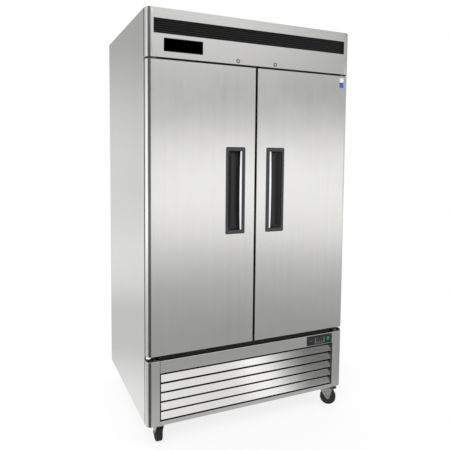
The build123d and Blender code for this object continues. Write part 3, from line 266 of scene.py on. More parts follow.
class Finish(Graph):
    """A material on a Principled shader. Constants are set on the shader's own sockets."""

    def __init__(self, name, colour, roughness, metallic=0.0, **constants):
        self.material = bpy.data.materials.new(name)
        self.material.use_nodes = True
        super().__init__(self.material.node_tree)
        self.material.diffuse_color = (*tuple(colour)[:3], 1.0)
        self.coords = self.object_coordinates()
        self.shader = self.node("BsdfPrincipled")
        self.finish("OutputMaterial", self.shader)
        self.put("Base Color", tuple(colour)[:3])
        self.put("Roughness", roughness)
        self.put("Metallic", metallic)
        for key, value in constants.items():
            self.put(key.replace("_", " ").title().replace("Ior", "IOR"), value)

    def put(self, key, value):
        self.shader.join_to(key, value)

    def bump(self, height, strength, distance):
        inputs = {"Strength": strength, "Distance": distance, "Height": height}
        self.put("Normal", self.node("Bump", {}, inputs))

    def shade(self, colour, factor, amount):
        """The colour, lighter and darker by a share of it, as a 0 to 1 factor says."""
        dark = tuple(c * (1 - amount) for c in colour)
        light = tuple(min(1.0, c * (1 + amount)) for c in colour)
        return self.mix(factor, dark, light)


FINISHES = {}


def finish_of(name):
    """The material of that name, made when it is first asked for."""
    if name not in FINISHES:
        FINISHES[name] = FINISH_MAKERS[name]().material
    return FINISHES[name]


def brushed(name, along, roughness=0.2, colour=None):
    """Brushed stainless: fine grain along an axis, broad streaks, faint wipe marks and a slight waviness."""
    colour = tuple(colour or bpy.context.scene.refrigerator_sheet.colour)
    finish = Finish(name, colour, roughness, metallic=1.0)
    fine = tuple(5.0 if axis == along else 1500.0 for axis in "xyz")
    broad = tuple(0.9 if axis == along else 46.0 for axis in "xyz")
    grain = finish.noise(finish.coords, fine, 2.0, 0.6)
    streak = finish.noise(finish.coords, broad, 3.0, 0.6)
    wipe = finish.noise(finish.coords, 5.5, 3.0, 0.62)
    wave = finish.noise(finish.coords, 2.3, 1.0, 0.4)
    tone = grain * 0.35 + streak * 0.4 + wipe * 0.25
    finish.put("Base Color", finish.shade(colour, tone, 0.085))
    finish.put("Roughness", (grain - 0.5) * 0.09 + (wipe - 0.5) * 0.10 + roughness)
    finish.bump(grain * 0.05 + streak * 0.1 + wave, 0.5, 0.0006)
    return finish


def galvanised():
    """Galvanised sheet with a dull spangle."""
    colour = tuple(bpy.context.scene.refrigerator_sheet.galvanised)
    finish = Finish("galvanised_sheet", colour, 0.42, metallic=0.9)
    spangle = finish.node("TexVoronoi", {"feature": "F1"}, {"Vector": finish.coords, "Scale": 85.0}, "Color")
    speck = finish.parts_of(spangle)[0]
    cloud = finish.noise(finish.coords, 6.0, 4.0, 0.6)
    finish.put("Base Color", finish.shade(colour, speck * 0.6 + cloud * 0.4, 0.16))
    finish.put("Roughness", 0.34 + speck * 0.12 + cloud * 0.1)
    finish.bump(speck * 0.3 + cloud, 0.25, 0.0004)
    return finish


def moulded(name, colour, roughness=0.42, grain=900.0, depth=0.00012, coat=0.0):
    """Moulded plastic with a fine spark-eroded grain and faint handling marks."""
    finish = Finish(name, colour, roughness, coat_weight=coat)
    texture = finish.noise(finish.coords, grain, 2.0, 0.6)
    marks = finish.noise(finish.coords, 14.0, 4.0, 0.65)
    finish.put("Base Color", finish.shade(tuple(colour)[:3], marks * 0.7 + texture * 0.3, 0.22))
    finish.put("Roughness", roughness - 0.09 + marks * 0.16 + texture * 0.04)
    finish.bump(texture, 0.35, depth)
    return finish


def plated(name, colour, roughness, tint=(0.75, 0.72, 0.6)):
    """Plated steel: a little mottled, with a warm tint in patches."""
    finish = Finish(name, colour, roughness, metallic=1.0)
    patch = finish.noise(finish.coords, 38.0, 3.0, 0.6)
    fine = finish.noise(finish.coords, 420.0, 2.0, 0.6)
    warm = finish.mix(patch, tuple(colour), tuple(c * t / 0.75 for c, t in zip(colour, tint)))
    finish.put("Base Color", finish.mix(fine * 0.3, warm, tuple(c * 0.7 for c in colour)))
    finish.put("Roughness", roughness - 0.06 + patch * 0.1 + fine * 0.06)
    finish.bump(fine, 0.3, 0.00008)
    return finish


def polished():
    """Bright plating with faint polishing lines."""
    finish = Finish("polished_plating", (0.86, 0.86, 0.87), 0.1, metallic=1.0)
    lines = finish.noise(finish.coords, (700.0, 700.0, 16.0), 2.0, 0.5)
    marks = finish.noise(finish.coords, 60.0, 3.0, 0.6)
    finish.put("Base Color", finish.shade((0.86, 0.86, 0.87), marks, 0.05))
    finish.put("Roughness", 0.06 + lines * 0.08 + marks * 0.06)
    return finish


def rubber(name, colour, roughness=0.62, dust=0.5):
    """Rubber with a fine grain and a little dust."""
    finish = Finish(name, colour, roughness)
    grain = finish.noise(finish.coords, 700.0, 2.0, 0.6)
    cloud = finish.noise(finish.coords, 45.0, 4.0, 0.65)
    worn = finish.ramp(cloud, [(0.45, 0.0), (0.75, 1.0)])
    dusty = tuple(c * 2.2 + 0.012 for c in tuple(colour)[:3])
    finish.put("Base Color", finish.mix(worn * dust, tuple(colour)[:3], dusty))
    finish.put("Roughness", roughness - 0.1 + cloud * 0.22 + grain * 0.05)
    finish.bump(grain, 0.4, 0.0002)
    return finish


def painted(name, colour, roughness=0.4, metallic=0.0):
    """A paint or powder coat with a slight orange peel."""
    finish = Finish(name, colour, roughness, metallic=metallic)
    peel = finish.noise(finish.coords, 260.0, 1.0, 0.5)
    cloud = finish.noise(finish.coords, 9.0, 4.0, 0.6)
    finish.put("Base Color", finish.shade(tuple(colour)[:3], cloud, 0.06))
    finish.put("Roughness", roughness - 0.05 + cloud * 0.1)
    finish.bump(peel, 0.3, 0.0002)
    return finish


def satin_liner():
    """Satin aluminium liner: rolled along the sheet, with a few dull patches."""
    colour = (0.72, 0.73, 0.74)
    finish = Finish("satin_aluminium", colour, 0.34, metallic=0.95)
    rolled = finish.noise(finish.coords, (7.0, 7.0, 700.0), 2.0, 0.6)
    cloud = finish.noise(finish.coords, 4.0, 3.0, 0.6)
    finish.put("Base Color", finish.shade(colour, rolled * 0.5 + cloud * 0.5, 0.07))
    finish.put("Roughness", 0.28 + rolled * 0.08 + cloud * 0.08)
    finish.bump(rolled * 0.2 + cloud, 0.3, 0.0004)
    return finish


def finned():
    """Aluminium fins seen edge on: fine lines across the coil, light fin edges with painted shade in the gaps
    between them.
    """
    finish = Finish("aluminium_fins", (0.6, 0.61, 0.62), 0.38, metallic=0.9)
    x = finish.parts_of(finish.coords)[0]
    fins_and_gap_shade = (x * 3100.0).maths("SINE", x * 3100.0) * 0.5 + 0.5
    dust = finish.noise(finish.coords, 30.0, 4.0, 0.6)
    # The dark tone between the fins is painted shade, standing in for the gaps that the solid coil does not
    # have.
    tone = finish.mix(fins_and_gap_shade, (0.12, 0.12, 0.125), (0.66, 0.67, 0.68))
    finish.put("Base Color", finish.mix(dust * 0.5, tone, (0.3, 0.29, 0.27)))
    finish.put("Roughness", 0.3 + dust * 0.3)
    finish.bump(fins_and_gap_shade, 0.6, 0.0006)
    return finish


def copper():
    """Copper tube, darker where it has tarnished."""
    finish = Finish("copper_tube", (0.78, 0.4, 0.27), 0.28, metallic=1.0)
    tarnish = finish.noise(finish.coords, 26.0, 4.0, 0.65)
    finish.put("Base Color", finish.mix(tarnish, (0.85, 0.46, 0.32), (0.38, 0.2, 0.14)))
    finish.put("Roughness", 0.18 + tarnish * 0.26)
    return finish


def window():
    """A smoked window with a dark display behind it."""
    finish = Finish("smoked_window", (0.012, 0.013, 0.016), 0.1, coat_weight=0.6, coat_roughness=0.04)
    haze = finish.noise(finish.coords, 160.0, 3.0, 0.6)
    finish.put("Base Color", finish.shade((0.014, 0.015, 0.018), haze, 0.35))
    finish.put("Roughness", 0.07 + haze * 0.08)
    return finish


def lit(name, colour, strength, roughness=0.25):
    """A lit plastic key or lens, its glow a little uneven across it."""
    finish = Finish(name, colour, roughness, coat_weight=0.3)
    glow = finish.noise(finish.coords, 90.0, 2.0, 0.5)
    finish.put("Emission Color", finish.shade(tuple(colour)[:3], glow, 0.35))
    finish.put("Emission Strength", strength)
    finish.put("Roughness", roughness - 0.05 + glow * 0.1)
    return finish


def foam():
    """Polyurethane foam."""
    finish = Finish("foam", (0.8, 0.66, 0.36), 0.85)
    cells = finish.noise(finish.coords, 300.0, 4.0, 0.7)
    finish.put("Base Color", finish.shade((0.8, 0.66, 0.36), cells, 0.2))
    finish.bump(cells, 0.5, 0.0006)
    return finish


def paper(name, colour):
    """A printed film label without any print but its plain colour."""
    finish = Finish(name, colour, 0.35, coat_weight=0.2)
    cloud = finish.noise(finish.coords, 80.0, 3.0, 0.6)
    finish.put("Base Color", finish.shade(colour, cloud, 0.05))
    finish.put("Roughness", 0.3 + cloud * 0.12)
    return finish


def trim_colour(name):
    return tuple(getattr(bpy.context.scene.refrigerator_trim, name))


FINISH_MAKERS = {
    "stainless_z": lambda: brushed("brushed_stainless_upright", "z"),
    "stainless_x": lambda: brushed("brushed_stainless_level", "x"),
    "stainless_blade": lambda: brushed("brushed_stainless_blades", "x", roughness=0.12),
    "galvanised": galvanised,
    "black_plastic": lambda: moulded("black_moulding", trim_colour("moulding")),
    "black_pocket": lambda: moulded("black_handle_pocket", trim_colour("moulding"), 0.36, 700.0),
    "black_rim": lambda: moulded("charcoal_handle_rim", (0.034, 0.034, 0.036), 0.42),
    "plate": lambda: moulded("gloss_black_plate", (0.008, 0.008, 0.009), 0.16, 400.0, 0.00002, 0.4),
    "grey_bezel": lambda: moulded("grey_bezel", trim_colour("bezel"), 0.4),
    "polished": polished,
    "zinc": lambda: plated("zinc_plate", (0.52, 0.54, 0.56), 0.34),
    # Dark steel for the lock rings, and painted shade on the hinge brackets under the doors.
    "dark_steel": lambda: plated("dark_steel", (0.15, 0.15, 0.155), 0.3),
    "steel": lambda: plated("bright_steel", (0.66, 0.66, 0.66), 0.24),
    "tyre": lambda: rubber("caster_rubber", tuple(bpy.context.scene.refrigerator_casters.rubber)),
    "gasket": lambda: rubber("gasket_vinyl", (0.018, 0.018, 0.019), 0.5, 0.2),
    "core": lambda: moulded("wheel_core", (0.03, 0.03, 0.032), 0.5),
    "black_paint": lambda: painted("black_enamel", (0.016, 0.016, 0.017), 0.32),
    # Near-black mat finish: the air filter's colour, kept this dark as painted shade in the grille gaps, and
    # the painted shade of the rail slots.
    "filter": lambda: rubber("filter_mat", (0.003, 0.003, 0.003), 0.85, 0.1),
    "white_plastic": lambda: moulded("white_moulding", (0.8, 0.8, 0.79), 0.36),
    "grey_plastic": lambda: moulded("grey_moulding", (0.2, 0.21, 0.22), 0.45),
    "epoxy": lambda: painted("epoxy_coated_wire", (0.72, 0.73, 0.73), 0.3),
    "liner": satin_liner,
    "fins": finned,
    "copper": copper,
    "window": window,
    "green": lambda: lit("green_lamp", trim_colour("lamp"), 0.45),
    "lens": lambda: lit("lamp_lens", (0.92, 0.94, 0.95), 0.6, 0.4),
    "foam": foam,
    "label_white": lambda: paper("label_white", (0.62, 0.61, 0.6)),
    "label_blue": lambda: paper("label_blue", (0.003, 0.09, 0.36)),
}


# ------------------------------------------------------------------ mesh work
def is_vertex(item):
    return isinstance(item, bmesh.types.BMVert)


class Shape:
    """A mesh shaped with bmesh operators."""

    def __init__(self):
        self.bm = bmesh.new()

    def box(self, low, high, radius=0.0, segments=2):
        """A box between two corners, with eased edges if a radius is given."""
        low, high = Vector(low), Vector(high)
        verts = bmesh.ops.create_cube(self.bm, size=1.0)["verts"]
        bmesh.ops.scale(self.bm, vec=high - low, verts=verts)
        bmesh.ops.translate(self.bm, vec=(low + high) / 2, verts=verts)
        if radius:
            edges = {edge for vert in verts for edge in vert.link_edges}
            verts = self.ease(edges, radius, segments)
        return verts

    def ease(self, edges, radius, segments=2):
        made = bmesh.ops.bevel(
            self.bm, geom=list(edges), offset=radius, offset_type="OFFSET", affect="EDGES",
            segments=segments, profile=0.5, material=-1, clamp_overlap=True,
        )
        return made["verts"]

    def rod(self, start, end, radius, steps=16, radius_end=None):
        """A cylinder or cone between two points."""
        start, end = Vector(start), Vector(end)
        along = end - start
        place = Matrix.Translation((start + end) / 2) @ along.to_track_quat("Z", "Y").to_matrix().to_4x4()
        made = bmesh.ops.create_cone(
            self.bm, cap_ends=True, cap_tris=False, segments=steps, radius1=radius,
            radius2=radius if radius_end is None else radius_end, depth=along.length, matrix=place,
        )
        return made["verts"]

    def prism(self, points, along):
        """A closed outline run along a vector."""
        verts = [self.bm.verts.new(point) for point in points]
        face = self.bm.faces.new(verts)
        made = bmesh.ops.extrude_face_region(self.bm, geom=[face], use_keep_orig=True)["geom"]
        moved = [item for item in made if is_vertex(item)]
        bmesh.ops.translate(self.bm, vec=along, verts=moved)
        return verts + moved

    def turned(self, outline, centre, axis, steps, across=None):
        """A chain of (radius, distance along the axis) points, spun right round the axis."""
        axis = Vector(axis).normalized()
        across = Vector(across) if across else axis.orthogonal().normalized()
        centre = Vector(centre)
        verts = [self.bm.verts.new(centre + across * radius + axis * along) for radius, along in outline]
        edges = [self.bm.edges.new(pair) for pair in zip(verts, verts[1:])]
        before = set(self.bm.verts) - set(verts)
        bmesh.ops.spin(
            self.bm, geom=verts + edges, cent=centre, axis=axis, dvec=(0, 0, 0), angle=2 * pi,
            space=Matrix.Identity(4), steps=steps, use_merge=True, use_normal_flip=False, use_duplicate=False,
        )
        made = [vert for vert in self.bm.verts if vert not in before]
        bmesh.ops.remove_doubles(self.bm, verts=made, dist=EPS)
        return [vert for vert in self.bm.verts if vert not in before]

    def ring_of(self, x0, x1, z0, z1, radius, y, steps=5):
        """A rounded rectangle of edges that faces the front."""
        corners = [(x0, y, z0), (x1, y, z0), (x1, y, z1), (x0, y, z1)]
        face = self.bm.faces.new([self.bm.verts.new(corner) for corner in corners])
        made = bmesh.ops.bevel(
            self.bm, geom=face.verts[:], offset=radius, offset_type="OFFSET", affect="VERTICES",
            segments=steps, profile=0.5, material=-1, clamp_overlap=True,
        )
        face = next(f for f in self.bm.faces if all(v in f.verts for v in made["verts"]))
        edges = face.edges[:]
        bmesh.ops.delete(self.bm, geom=[face], context="FACES_ONLY")
        return edges

    def skin(self, rings, closed_end=True):
        """Faces from each ring of edges to the next, and across the last one."""
        for first, second in zip(rings, rings[1:]):
            bmesh.ops.bridge_loops(self.bm, edges=first + second)
        if closed_end:
            bmesh.ops.contextual_create(self.bm, geom=rings[-1])

    def cut(self, faces, point, normal):
        """A straight cut across some faces."""
        geom = set(faces)
        for face in faces:
            geom.update(face.edges)
            geom.update(face.verts)
        bmesh.ops.bisect_plane(self.bm, geom=list(geom), dist=EPS, plane_co=point, plane_no=normal)

    def looking(self, facing):
        """The faces that look along a unit vector."""
        self.bm.normal_update()
        return [face for face in self.bm.faces if face.normal.dot(facing) > 0.999]

    def cut_frame(self, facing, low, high):
        """Cuts a rectangle in the faces that look along an axis, and returns the faces inside it."""
        axes = [axis for axis in range(3) if not facing[axis]]
        for axis in axes:
            normal = [float(axis == other) for other in range(3)]
            for point in (low, high):
                self.cut(self.looking(Vector(facing)), point, normal)
        inside = []
        for face in self.looking(Vector(facing)):
            middle = face.calc_center_median()
            if all(low[axis] < middle[axis] < high[axis] for axis in axes):
                inside.append(face)
        return inside

    def framed(self, facing, x0, x1, z0, z1):
        """Cuts a rectangle in the faces that look one way along Y, and returns the faces inside it."""
        return self.cut_frame((0, facing, 0), (x0, 0, z0), (x1, 0, z1))

    def sink(self, faces, by):
        """Pushes faces in along a vector and walls the hollow."""
        made = bmesh.ops.extrude_face_region(self.bm, geom=faces)["geom"]
        bmesh.ops.delete(self.bm, geom=faces, context="FACES")
        bmesh.ops.translate(self.bm, vec=by, verts=[item for item in made if is_vertex(item)])

    def turn(self, matrix, verts=None):
        bmesh.ops.transform(self.bm, matrix=matrix, verts=list(verts or self.bm.verts))

    def tidy(self, merge=EPS):
        bmesh.ops.remove_doubles(self.bm, verts=self.bm.verts[:], dist=merge)
        bmesh.ops.recalc_face_normals(self.bm, faces=self.bm.faces[:])

    def piece(self, name, finish, body, slot=None, replaces=(), crease=32.0, merge=EPS, wall=False):
        """Turns the shape into an object that rides on a body. thicken() finishes a sheet with a wall."""
        self.tidy(merge)
        mesh = bpy.data.meshes.new(name)
        self.bm.to_mesh(mesh)
        self.bm.free()
        mesh.shade_smooth()
        mesh.set_sharp_from_angle(angle=radians(crease))
        mesh.materials.append(finish_of(finish))
        made = bpy.data.objects.new(name, mesh)
        bpy.context.scene.collection.objects.link(made)
        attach(made, body)
        if replaces:
            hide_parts(*replaces)
        return made if wall else flat_faces(made)


def flat_faces(piece):
    """Keeps broad faces flat where they meet an eased edge."""
    normals = piece.modifiers.new("normals", "WEIGHTED_NORMAL")
    normals.keep_sharp = True
    normals.weight = 100
    return piece


def body_of(node):
    return NODES[node]["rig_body"]


def eased_copy(node, finish, radius=0.0006, slot=None, name=None, flat=0.6, segments=2):
    """A CAD node's own shape with its triangles joined into whole faces and its edges eased."""
    shape = Shape()
    shape.bm.from_mesh(NODES[node].data)
    bm = shape.bm
    bmesh.ops.remove_doubles(bm, verts=bm.verts[:], dist=EPS)
    bmesh.ops.recalc_face_normals(bm, faces=bm.faces[:])
    bmesh.ops.dissolve_limit(
        bm, verts=bm.verts[:], edges=bm.edges[:],
        angle_limit=radians(flat), use_dissolve_boundaries=False, delimit=set(),
    )
    if radius:
        sharp = [edge for edge in bm.edges if edge.is_manifold and edge.calc_face_angle(0.0) > radians(38)]
        shape.ease(sharp, radius, segments)
    return shape.piece(name or f"{node}_eased", finish, body_of(node), slot, (node,))


def parts_in(node):
    """The box of each separate part of a CAD node's mesh, as pairs of corners."""
    bm = bmesh.new()
    bm.from_mesh(NODES[node].data)
    bmesh.ops.remove_doubles(bm, verts=bm.verts[:], dist=EPS)
    boxes, waiting = [], set(bm.verts)
    while waiting:
        reached = [waiting.pop()]
        for vert in reached:
            for edge in vert.link_edges:
                other = edge.other_vert(vert)
                if other in waiting:
                    waiting.remove(other)
                    reached.append(other)
        low = Vector(min(vert.co[axis] for vert in reached) for axis in range(3))
        high = Vector(max(vert.co[axis] for vert in reached) for axis in range(3))
        boxes.append((low, high))
    bm.free()
    return boxes


def thicken(piece, thickness):
    """Gives an open sheet its thickness, inwards from its outer face."""
    wall = piece.modifiers.new("sheet", "SOLIDIFY")
    wall.thickness = thickness
    wall.offset = -1.0
    wall.use_even_offset = True
    return flat_faces(piece)


def paint_node(node, finish):
    """Gives a CAD node that stays as it is its material."""
    slots = NODES[node].data.materials
    slots.clear()
    slots.append(finish_of(finish))


def sheet():
    return bpy.context.scene.refrigerator_sheet


def folded_pan(low, high, left_radius, right_radius, opening=None):
    """A folded sheet, open at the back, with round vertical corners and small folds at top and bottom."""
    shape = Shape()
    shape.box(low, high)
    bm = shape.bm
    bm.normal_update()
    bmesh.ops.delete(bm, geom=[face for face in bm.faces if face.normal.y > 0.9], context="FACES_ONLY")
    for x, radius in ((low.x, left_radius), (high.x, right_radius)):
        corner = [
            edge for edge in bm.edges
            if all(abs(vert.co.x - x) < EPS and abs(vert.co.y - low.y) < EPS for vert in edge.verts)
        ]
        shape.ease(corner, radius, 3 if radius < 0.01 else 14)
    rims = [
        edge for edge in bm.edges
        if edge.is_manifold and abs(edge.verts[0].co.z - edge.verts[1].co.z) < EPS
        and min(abs(edge.verts[0].co.z - low.z), abs(edge.verts[0].co.z - high.z)) < EPS
    ]
    shape.ease(rims, sheet().fold, 3)
    if opening:
        inside = shape.framed(-1, *opening)
        bmesh.ops.delete(bm, geom=inside, context="FACES")
    return shape


def tongue_slot(shape, sign):
    """Opens a door pan's top fold where the lock's tongue drops in."""
    _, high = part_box("lock_housings")
    centre = sign * (high.x - LOCK_RADIUS)
    x0, x1 = sorted((centre - sign * 0.0075, centre + sign * 0.030))
    y0, y1 = high.y + 0.0005, high.y + 0.006
    inside = shape.cut_frame((0, 0, 1), (x0, y0, 0), (x1, y1, 0))
    bmesh.ops.delete(shape.bm, geom=inside, context="FACES")


def screw_head(shape, place, axis, radius=0.004, height=0.0022):
    """A pan head screw with a cross slot's dimple."""
    outline = [
        (0.0, height * 0.45), (radius * 0.3, height * 0.6), (radius * 0.36, height),
        (radius * 0.7, height * 0.86), (radius * 0.96, height * 0.4), (radius, 0.0),
    ]
    return shape.turned(outline, place, axis, 12)


# ------------------------------------------------------------------ stage
TURN = 2 * pi


def round_tone(graph, around):
    """How bright the surroundings are at the horizon. The doors face three quarters of a turn."""
    stops = [
        (0.0, 0.92), (0.05, 0.9), (0.078, 0.10), (0.238, 0.09), (0.266, 0.68), (0.30, 0.76), (0.35, 0.74),
        (0.44, 0.45), (0.52, 0.5), (0.64, 0.6), (0.74, 0.54), (0.80, 0.47), (0.86, 0.5), (0.90, 0.72),
        (1.0, 0.92),
    ]
    return graph.ramp(around, stops) * 1.55


def floor_tone(graph, around):
    """How bright the floor is in reflections, round the cabinet's near corner."""
    stops = [
        (0.0, 0.9), (0.05, 0.9), (0.078, 0.12), (0.238, 0.11), (0.264, 0.58), (0.30, 0.60), (0.36, 0.58),
        (0.45, 0.56), (0.52, 0.5), (0.64, 0.56), (0.72, 0.7), (0.765, 0.95), (0.84, 1.0), (0.92, 0.92),
        (1.0, 0.88),
    ]
    return graph.ramp(around, stops) * 1.6


def blade_tone(graph, around):
    """What the lower grille's slanted blades mirror: a pale wall, a lamp and a dark corner."""
    stops = [
        (0.0, 0.6), (0.24, 0.64), (0.29, 0.66), (0.325, 0.57), (0.331, 1.0), (0.335, 1.0), (0.340, 0.27),
        (0.347, 0.10), (0.358, 0.12), (0.40, 0.14), (0.46, 0.45), (1.0, 0.6),
    ]
    return graph.ramp(around, stops) * 1.5


def far_world():
    """A pale backdrop to the camera, and soft studio walls to whatever reflects them."""
    world = bpy.data.worlds.new("studio")
    bpy.context.scene.world = world
    world.use_nodes = True
    graph = Graph(world.node_tree)
    x, y, z = graph.parts_of(graph.node("TexCoord", output="Generated"))
    around = y.maths("ARCTAN2", y, x) / TURN + 0.5
    height = z.maths("ARCSINE", z) / (pi / 2)
    ahead = graph.ramp(height, [
        (0.0, 1.0), (0.02, 0.88), (0.05, 0.46), (0.085, 0.32), (0.105, 0.42), (0.13, 0.78), (0.17, 0.76),
        (0.25, 0.6), (0.5, 0.62), (1.0, 0.85),
    ])
    upper = graph.ramp(height, [(0.105, 0.0), (0.125, 1.0), (0.2, 1.0), (0.3, 0.0)])
    fall = graph.ramp(around, [
        (0.3, 0.08), (0.32, 0.0), (0.341, 0.15), (0.357, 0.36), (0.4, 0.4), (0.45, 0.0),
    ])
    ahead = ahead * (1 - upper * fall)
    aside = graph.ramp(height, [
        (0.0, 1.0), (0.05, 0.9), (0.09, 0.76), (0.14, 0.6), (0.25, 0.58), (1.0, 0.85),
    ])
    facing = graph.ramp(around, [(0.18, 0.0), (0.24, 1.0), (0.38, 1.0), (0.44, 0.0)])
    falling = ahead * facing + aside * (1 - facing)
    band = graph.ramp(height, [(0.22, 0.0), (0.26, 1.0), (0.38, 1.0), (0.44, 0.0)])
    walls = round_tone(graph, around) * falling * (1 - band) + blade_tone(graph, around) * band
    to_camera = graph.node("LightPath", output="Is Camera Ray")
    glossy = graph.node("LightPath", output="Is Glossy Ray")
    tone = glossy * walls + (1 - glossy) * 0.85
    background = graph.node("Background", {}, {"Color": (1.0, 1.0, 1.0)})
    background.join_to("Strength", to_camera * 1.0 + (1 - to_camera) * tone)
    graph.finish("OutputWorld", background)


def floor_material():
    """White to the camera but for a faint shadow. Reflections see an emission of painted light instead, with
    painted shade darkening it towards the object's feet.
    """
    material = bpy.data.materials.new("studio_floor")
    material.use_nodes = True
    graph = Graph(material.node_tree)
    x, y, _ = graph.parts_of(graph.object_coordinates())
    reach = (x * x + y * y) ** 0.5
    ahead = y - FRONT
    around = ahead.maths("ARCTAN2", ahead, x + HALF_WIDTH) / TURN + 0.5
    ahead_painted_shade = graph.ramp(reach / 12.0, [
        (0.0, 0.54), (0.055, 0.52), (0.094, 0.37), (0.16, 0.35), (0.25, 0.45), (0.36, 0.57), (0.47, 0.74),
        (0.6, 0.95), (1.0, 1.0),
    ])
    aside_painted_shade = graph.ramp(reach / 12.0, [
        (0.0, 0.6), (0.055, 0.58), (0.094, 0.42), (0.16, 0.40), (0.25, 0.52), (0.42, 0.55), (0.6, 0.52),
        (1.0, 0.5),
    ])
    aside = graph.ramp(around, [(0.55, 0.0), (0.62, 1.0), (0.86, 1.0), (0.92, 0.0)])
    near = ahead_painted_shade * (1 - aside) * 1.13 + aside_painted_shade * aside
    # Painted light and shade for reflections: the floor glows, darker near the cabinet as if it lay in its
    # shadow.
    glow = graph.node("Emission", {}, {"Strength": near * floor_tone(graph, around)})
    plain = graph.node("BsdfDiffuse", {}, {"Color": (0.93, 0.93, 0.93)})
    white = graph.node("Emission", {}, {"Strength": 1.0})
    shadow = bpy.context.scene.refrigerator_stage.shadow
    fading = graph.ramp(reach / 5.0, [(0.2, 1.0), (0.7, 0.0)]) * shadow
    seen = graph.node("MixShader", {}, {0: fading, 1: white, 2: plain})
    to_camera = graph.node("LightPath", output="Is Camera Ray")
    glossy = graph.node("LightPath", output="Is Glossy Ray")
    direct = graph.node("MixShader", {}, {0: to_camera, 1: plain, 2: seen})
    graph.finish("OutputMaterial", graph.node("MixShader", {}, {0: glossy, 1: direct, 2: glow}))
    return material


def soft_light(name, place, size, power):
    """A square area light aimed at the middle of the cabinet, kept out of reflections."""
    data = bpy.data.lights.new(name, "AREA")
    data.size = size
    data.energy = power
    light = bpy.data.objects.new(name, data)
    light.location = place
    aim = Vector((0, 0, TOP / 2)) - Vector(place)
    light.rotation_euler = aim.to_track_quat("-Z", "Y").to_euler()
    light.visible_glossy = False
    light.visible_camera = False
    bpy.context.scene.collection.objects.link(light)


def turned_view(yaw, pitch, roll):
    """The camera's matrix from its yaw from +Y towards +X, its pitch down and its roll."""
    ahead = Vector((sin(yaw) * cos(pitch), cos(yaw) * cos(pitch), -sin(pitch)))
    right = Vector((cos(yaw), -sin(yaw), 0))
    up = right.cross(ahead)
    across = cos(roll) * right + sin(roll) * up
    upright = cos(roll) * up - sin(roll) * right
    return Matrix((across, upright, -ahead)).transposed().to_4x4()


class REFRIGERATOR_OT_stage(bpy.types.Operator):
    """Makes the floor, the surroundings, the soft lights and the camera"""

    bl_idname = "refrigerator.stage"
    bl_label = "Stage"

    def execute(self, context):
        settings = context.scene.refrigerator_stage
        context.scene.view_settings.view_transform = "Standard"
        bpy.ops.mesh.primitive_circle_add(vertices=96, radius=14.0, fill_type="NGON")
        floor = context.object
        floor.name = "studio_floor"
        floor.data.materials.append(floor_material())
        far_world()
        soft_light("key", (-2.6, -3.4, 3.6), 2.6, 95)
        soft_light("fill", (3.2, -2.6, 2.4), 2.4, 40)
        soft_light("rear", (-1.0, 3.6, 3.2), 2.8, 60)
        data = bpy.data.cameras.new("camera")
        data.lens = settings.lens
        data.sensor_width = 36.0
        data.shift_y = -0.0758
        camera = bpy.data.objects.new("camera", data)
        view = turned_view(radians(24.17), radians(4.0), radians(0.49))
        camera.matrix_world = Matrix.Translation((-1.1472, -2.6106, 1.4185)) @ view
        context.scene.collection.objects.link(camera)
        context.scene.camera = camera
        return {"FINISHED"}


# ------------------------------------------------------------------ sheet metal
class REFRIGERATOR_OT_sheet_metal(bpy.types.Operator):
    """Folds the door skins, the header, the corner posts and the control strip"""

    bl_idname = "refrigerator.sheet_metal"
    bl_label = "Sheet metal"

    def execute(self, context):
        corner, fold, thickness = sheet().corner, sheet().fold, sheet().thickness
        for side, sign in SIDES.items():
            low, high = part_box(f"door_skin_{side}")
            rim_low, rim_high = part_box(f"door_handle_{side}")
            lip = 0.006
            hole = (rim_low.x + lip, rim_high.x - lip, rim_low.z + lip, rim_high.z - lip)
            radii = (corner, fold) if sign < 0 else (fold, corner)
            door = folded_pan(low, high, *radii, hole)
            tongue_slot(door, sign)
            made = door.piece(
                f"door_shell_{side}", "stainless_z", f"door_{side}", "stainless", (f"door_skin_{side}",),
                wall=True,
            )
            thicken(made, thickness)
        low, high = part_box("header_fascia")
        louvre_low, louvre_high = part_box("header_louvre")
        margin = 0.0061
        opening = (
            louvre_low.x + margin, louvre_high.x - margin, louvre_low.z + margin, louvre_high.z - margin,
        )
        header = folded_pan(low, high, corner, corner, opening)
        made = header.piece(
            "header_shell", "stainless_x", "cabinet", "stainless", ("header_fascia",), wall=True
        )
        thicken(made, thickness)
        low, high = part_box("control_strip")
        box_low, box_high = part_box("controller_housing")
        opening = (box_low.x + 0.002, box_high.x - 0.002, box_low.z + 0.002, box_high.z - 0.002)
        strip = folded_pan(low, high, fold, fold, opening)
        made = strip.piece(
            "control_strip_folded", "stainless_x", "cabinet", "stainless", ("control_strip",), wall=True
        )
        thicken(made, thickness)
        low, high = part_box("corner_posts")
        post_width = HALF_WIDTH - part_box("control_strip")[1].x
        for side, sign in SIDES.items():
            post_low, post_high = low.copy(), high.copy()
            if sign < 0:
                post_high.x = low.x + post_width
            else:
                post_low.x = high.x - post_width
            radii = (corner, fold) if sign < 0 else (fold, corner)
            post = folded_pan(post_low, post_high, *radii)
            replaced = ("corner_posts",) if sign < 0 else ()
            made = post.piece(
                f"corner_post_{side}", "stainless_z", "cabinet", "stainless", replaced, wall=True
            )
            thicken(made, thickness)
        return {"FINISHED"}


class REFRIGERATOR_OT_outer_panels(bpy.types.Operator):
    """Finishes the side panels, the top and rear panels and the base frame"""

    bl_idname = "refrigerator.outer_panels"
    bl_label = "Outer panels"

    def execute(self, context):
        paint_node("side_panels", "stainless_z")
        paint_node("shell_panels", "galvanised")
        paint_node("rear_grille", "galvanised")
        eased_copy("base_frame", "stainless_x", 0.0008, "zinc")
        return {"FINISHED"}


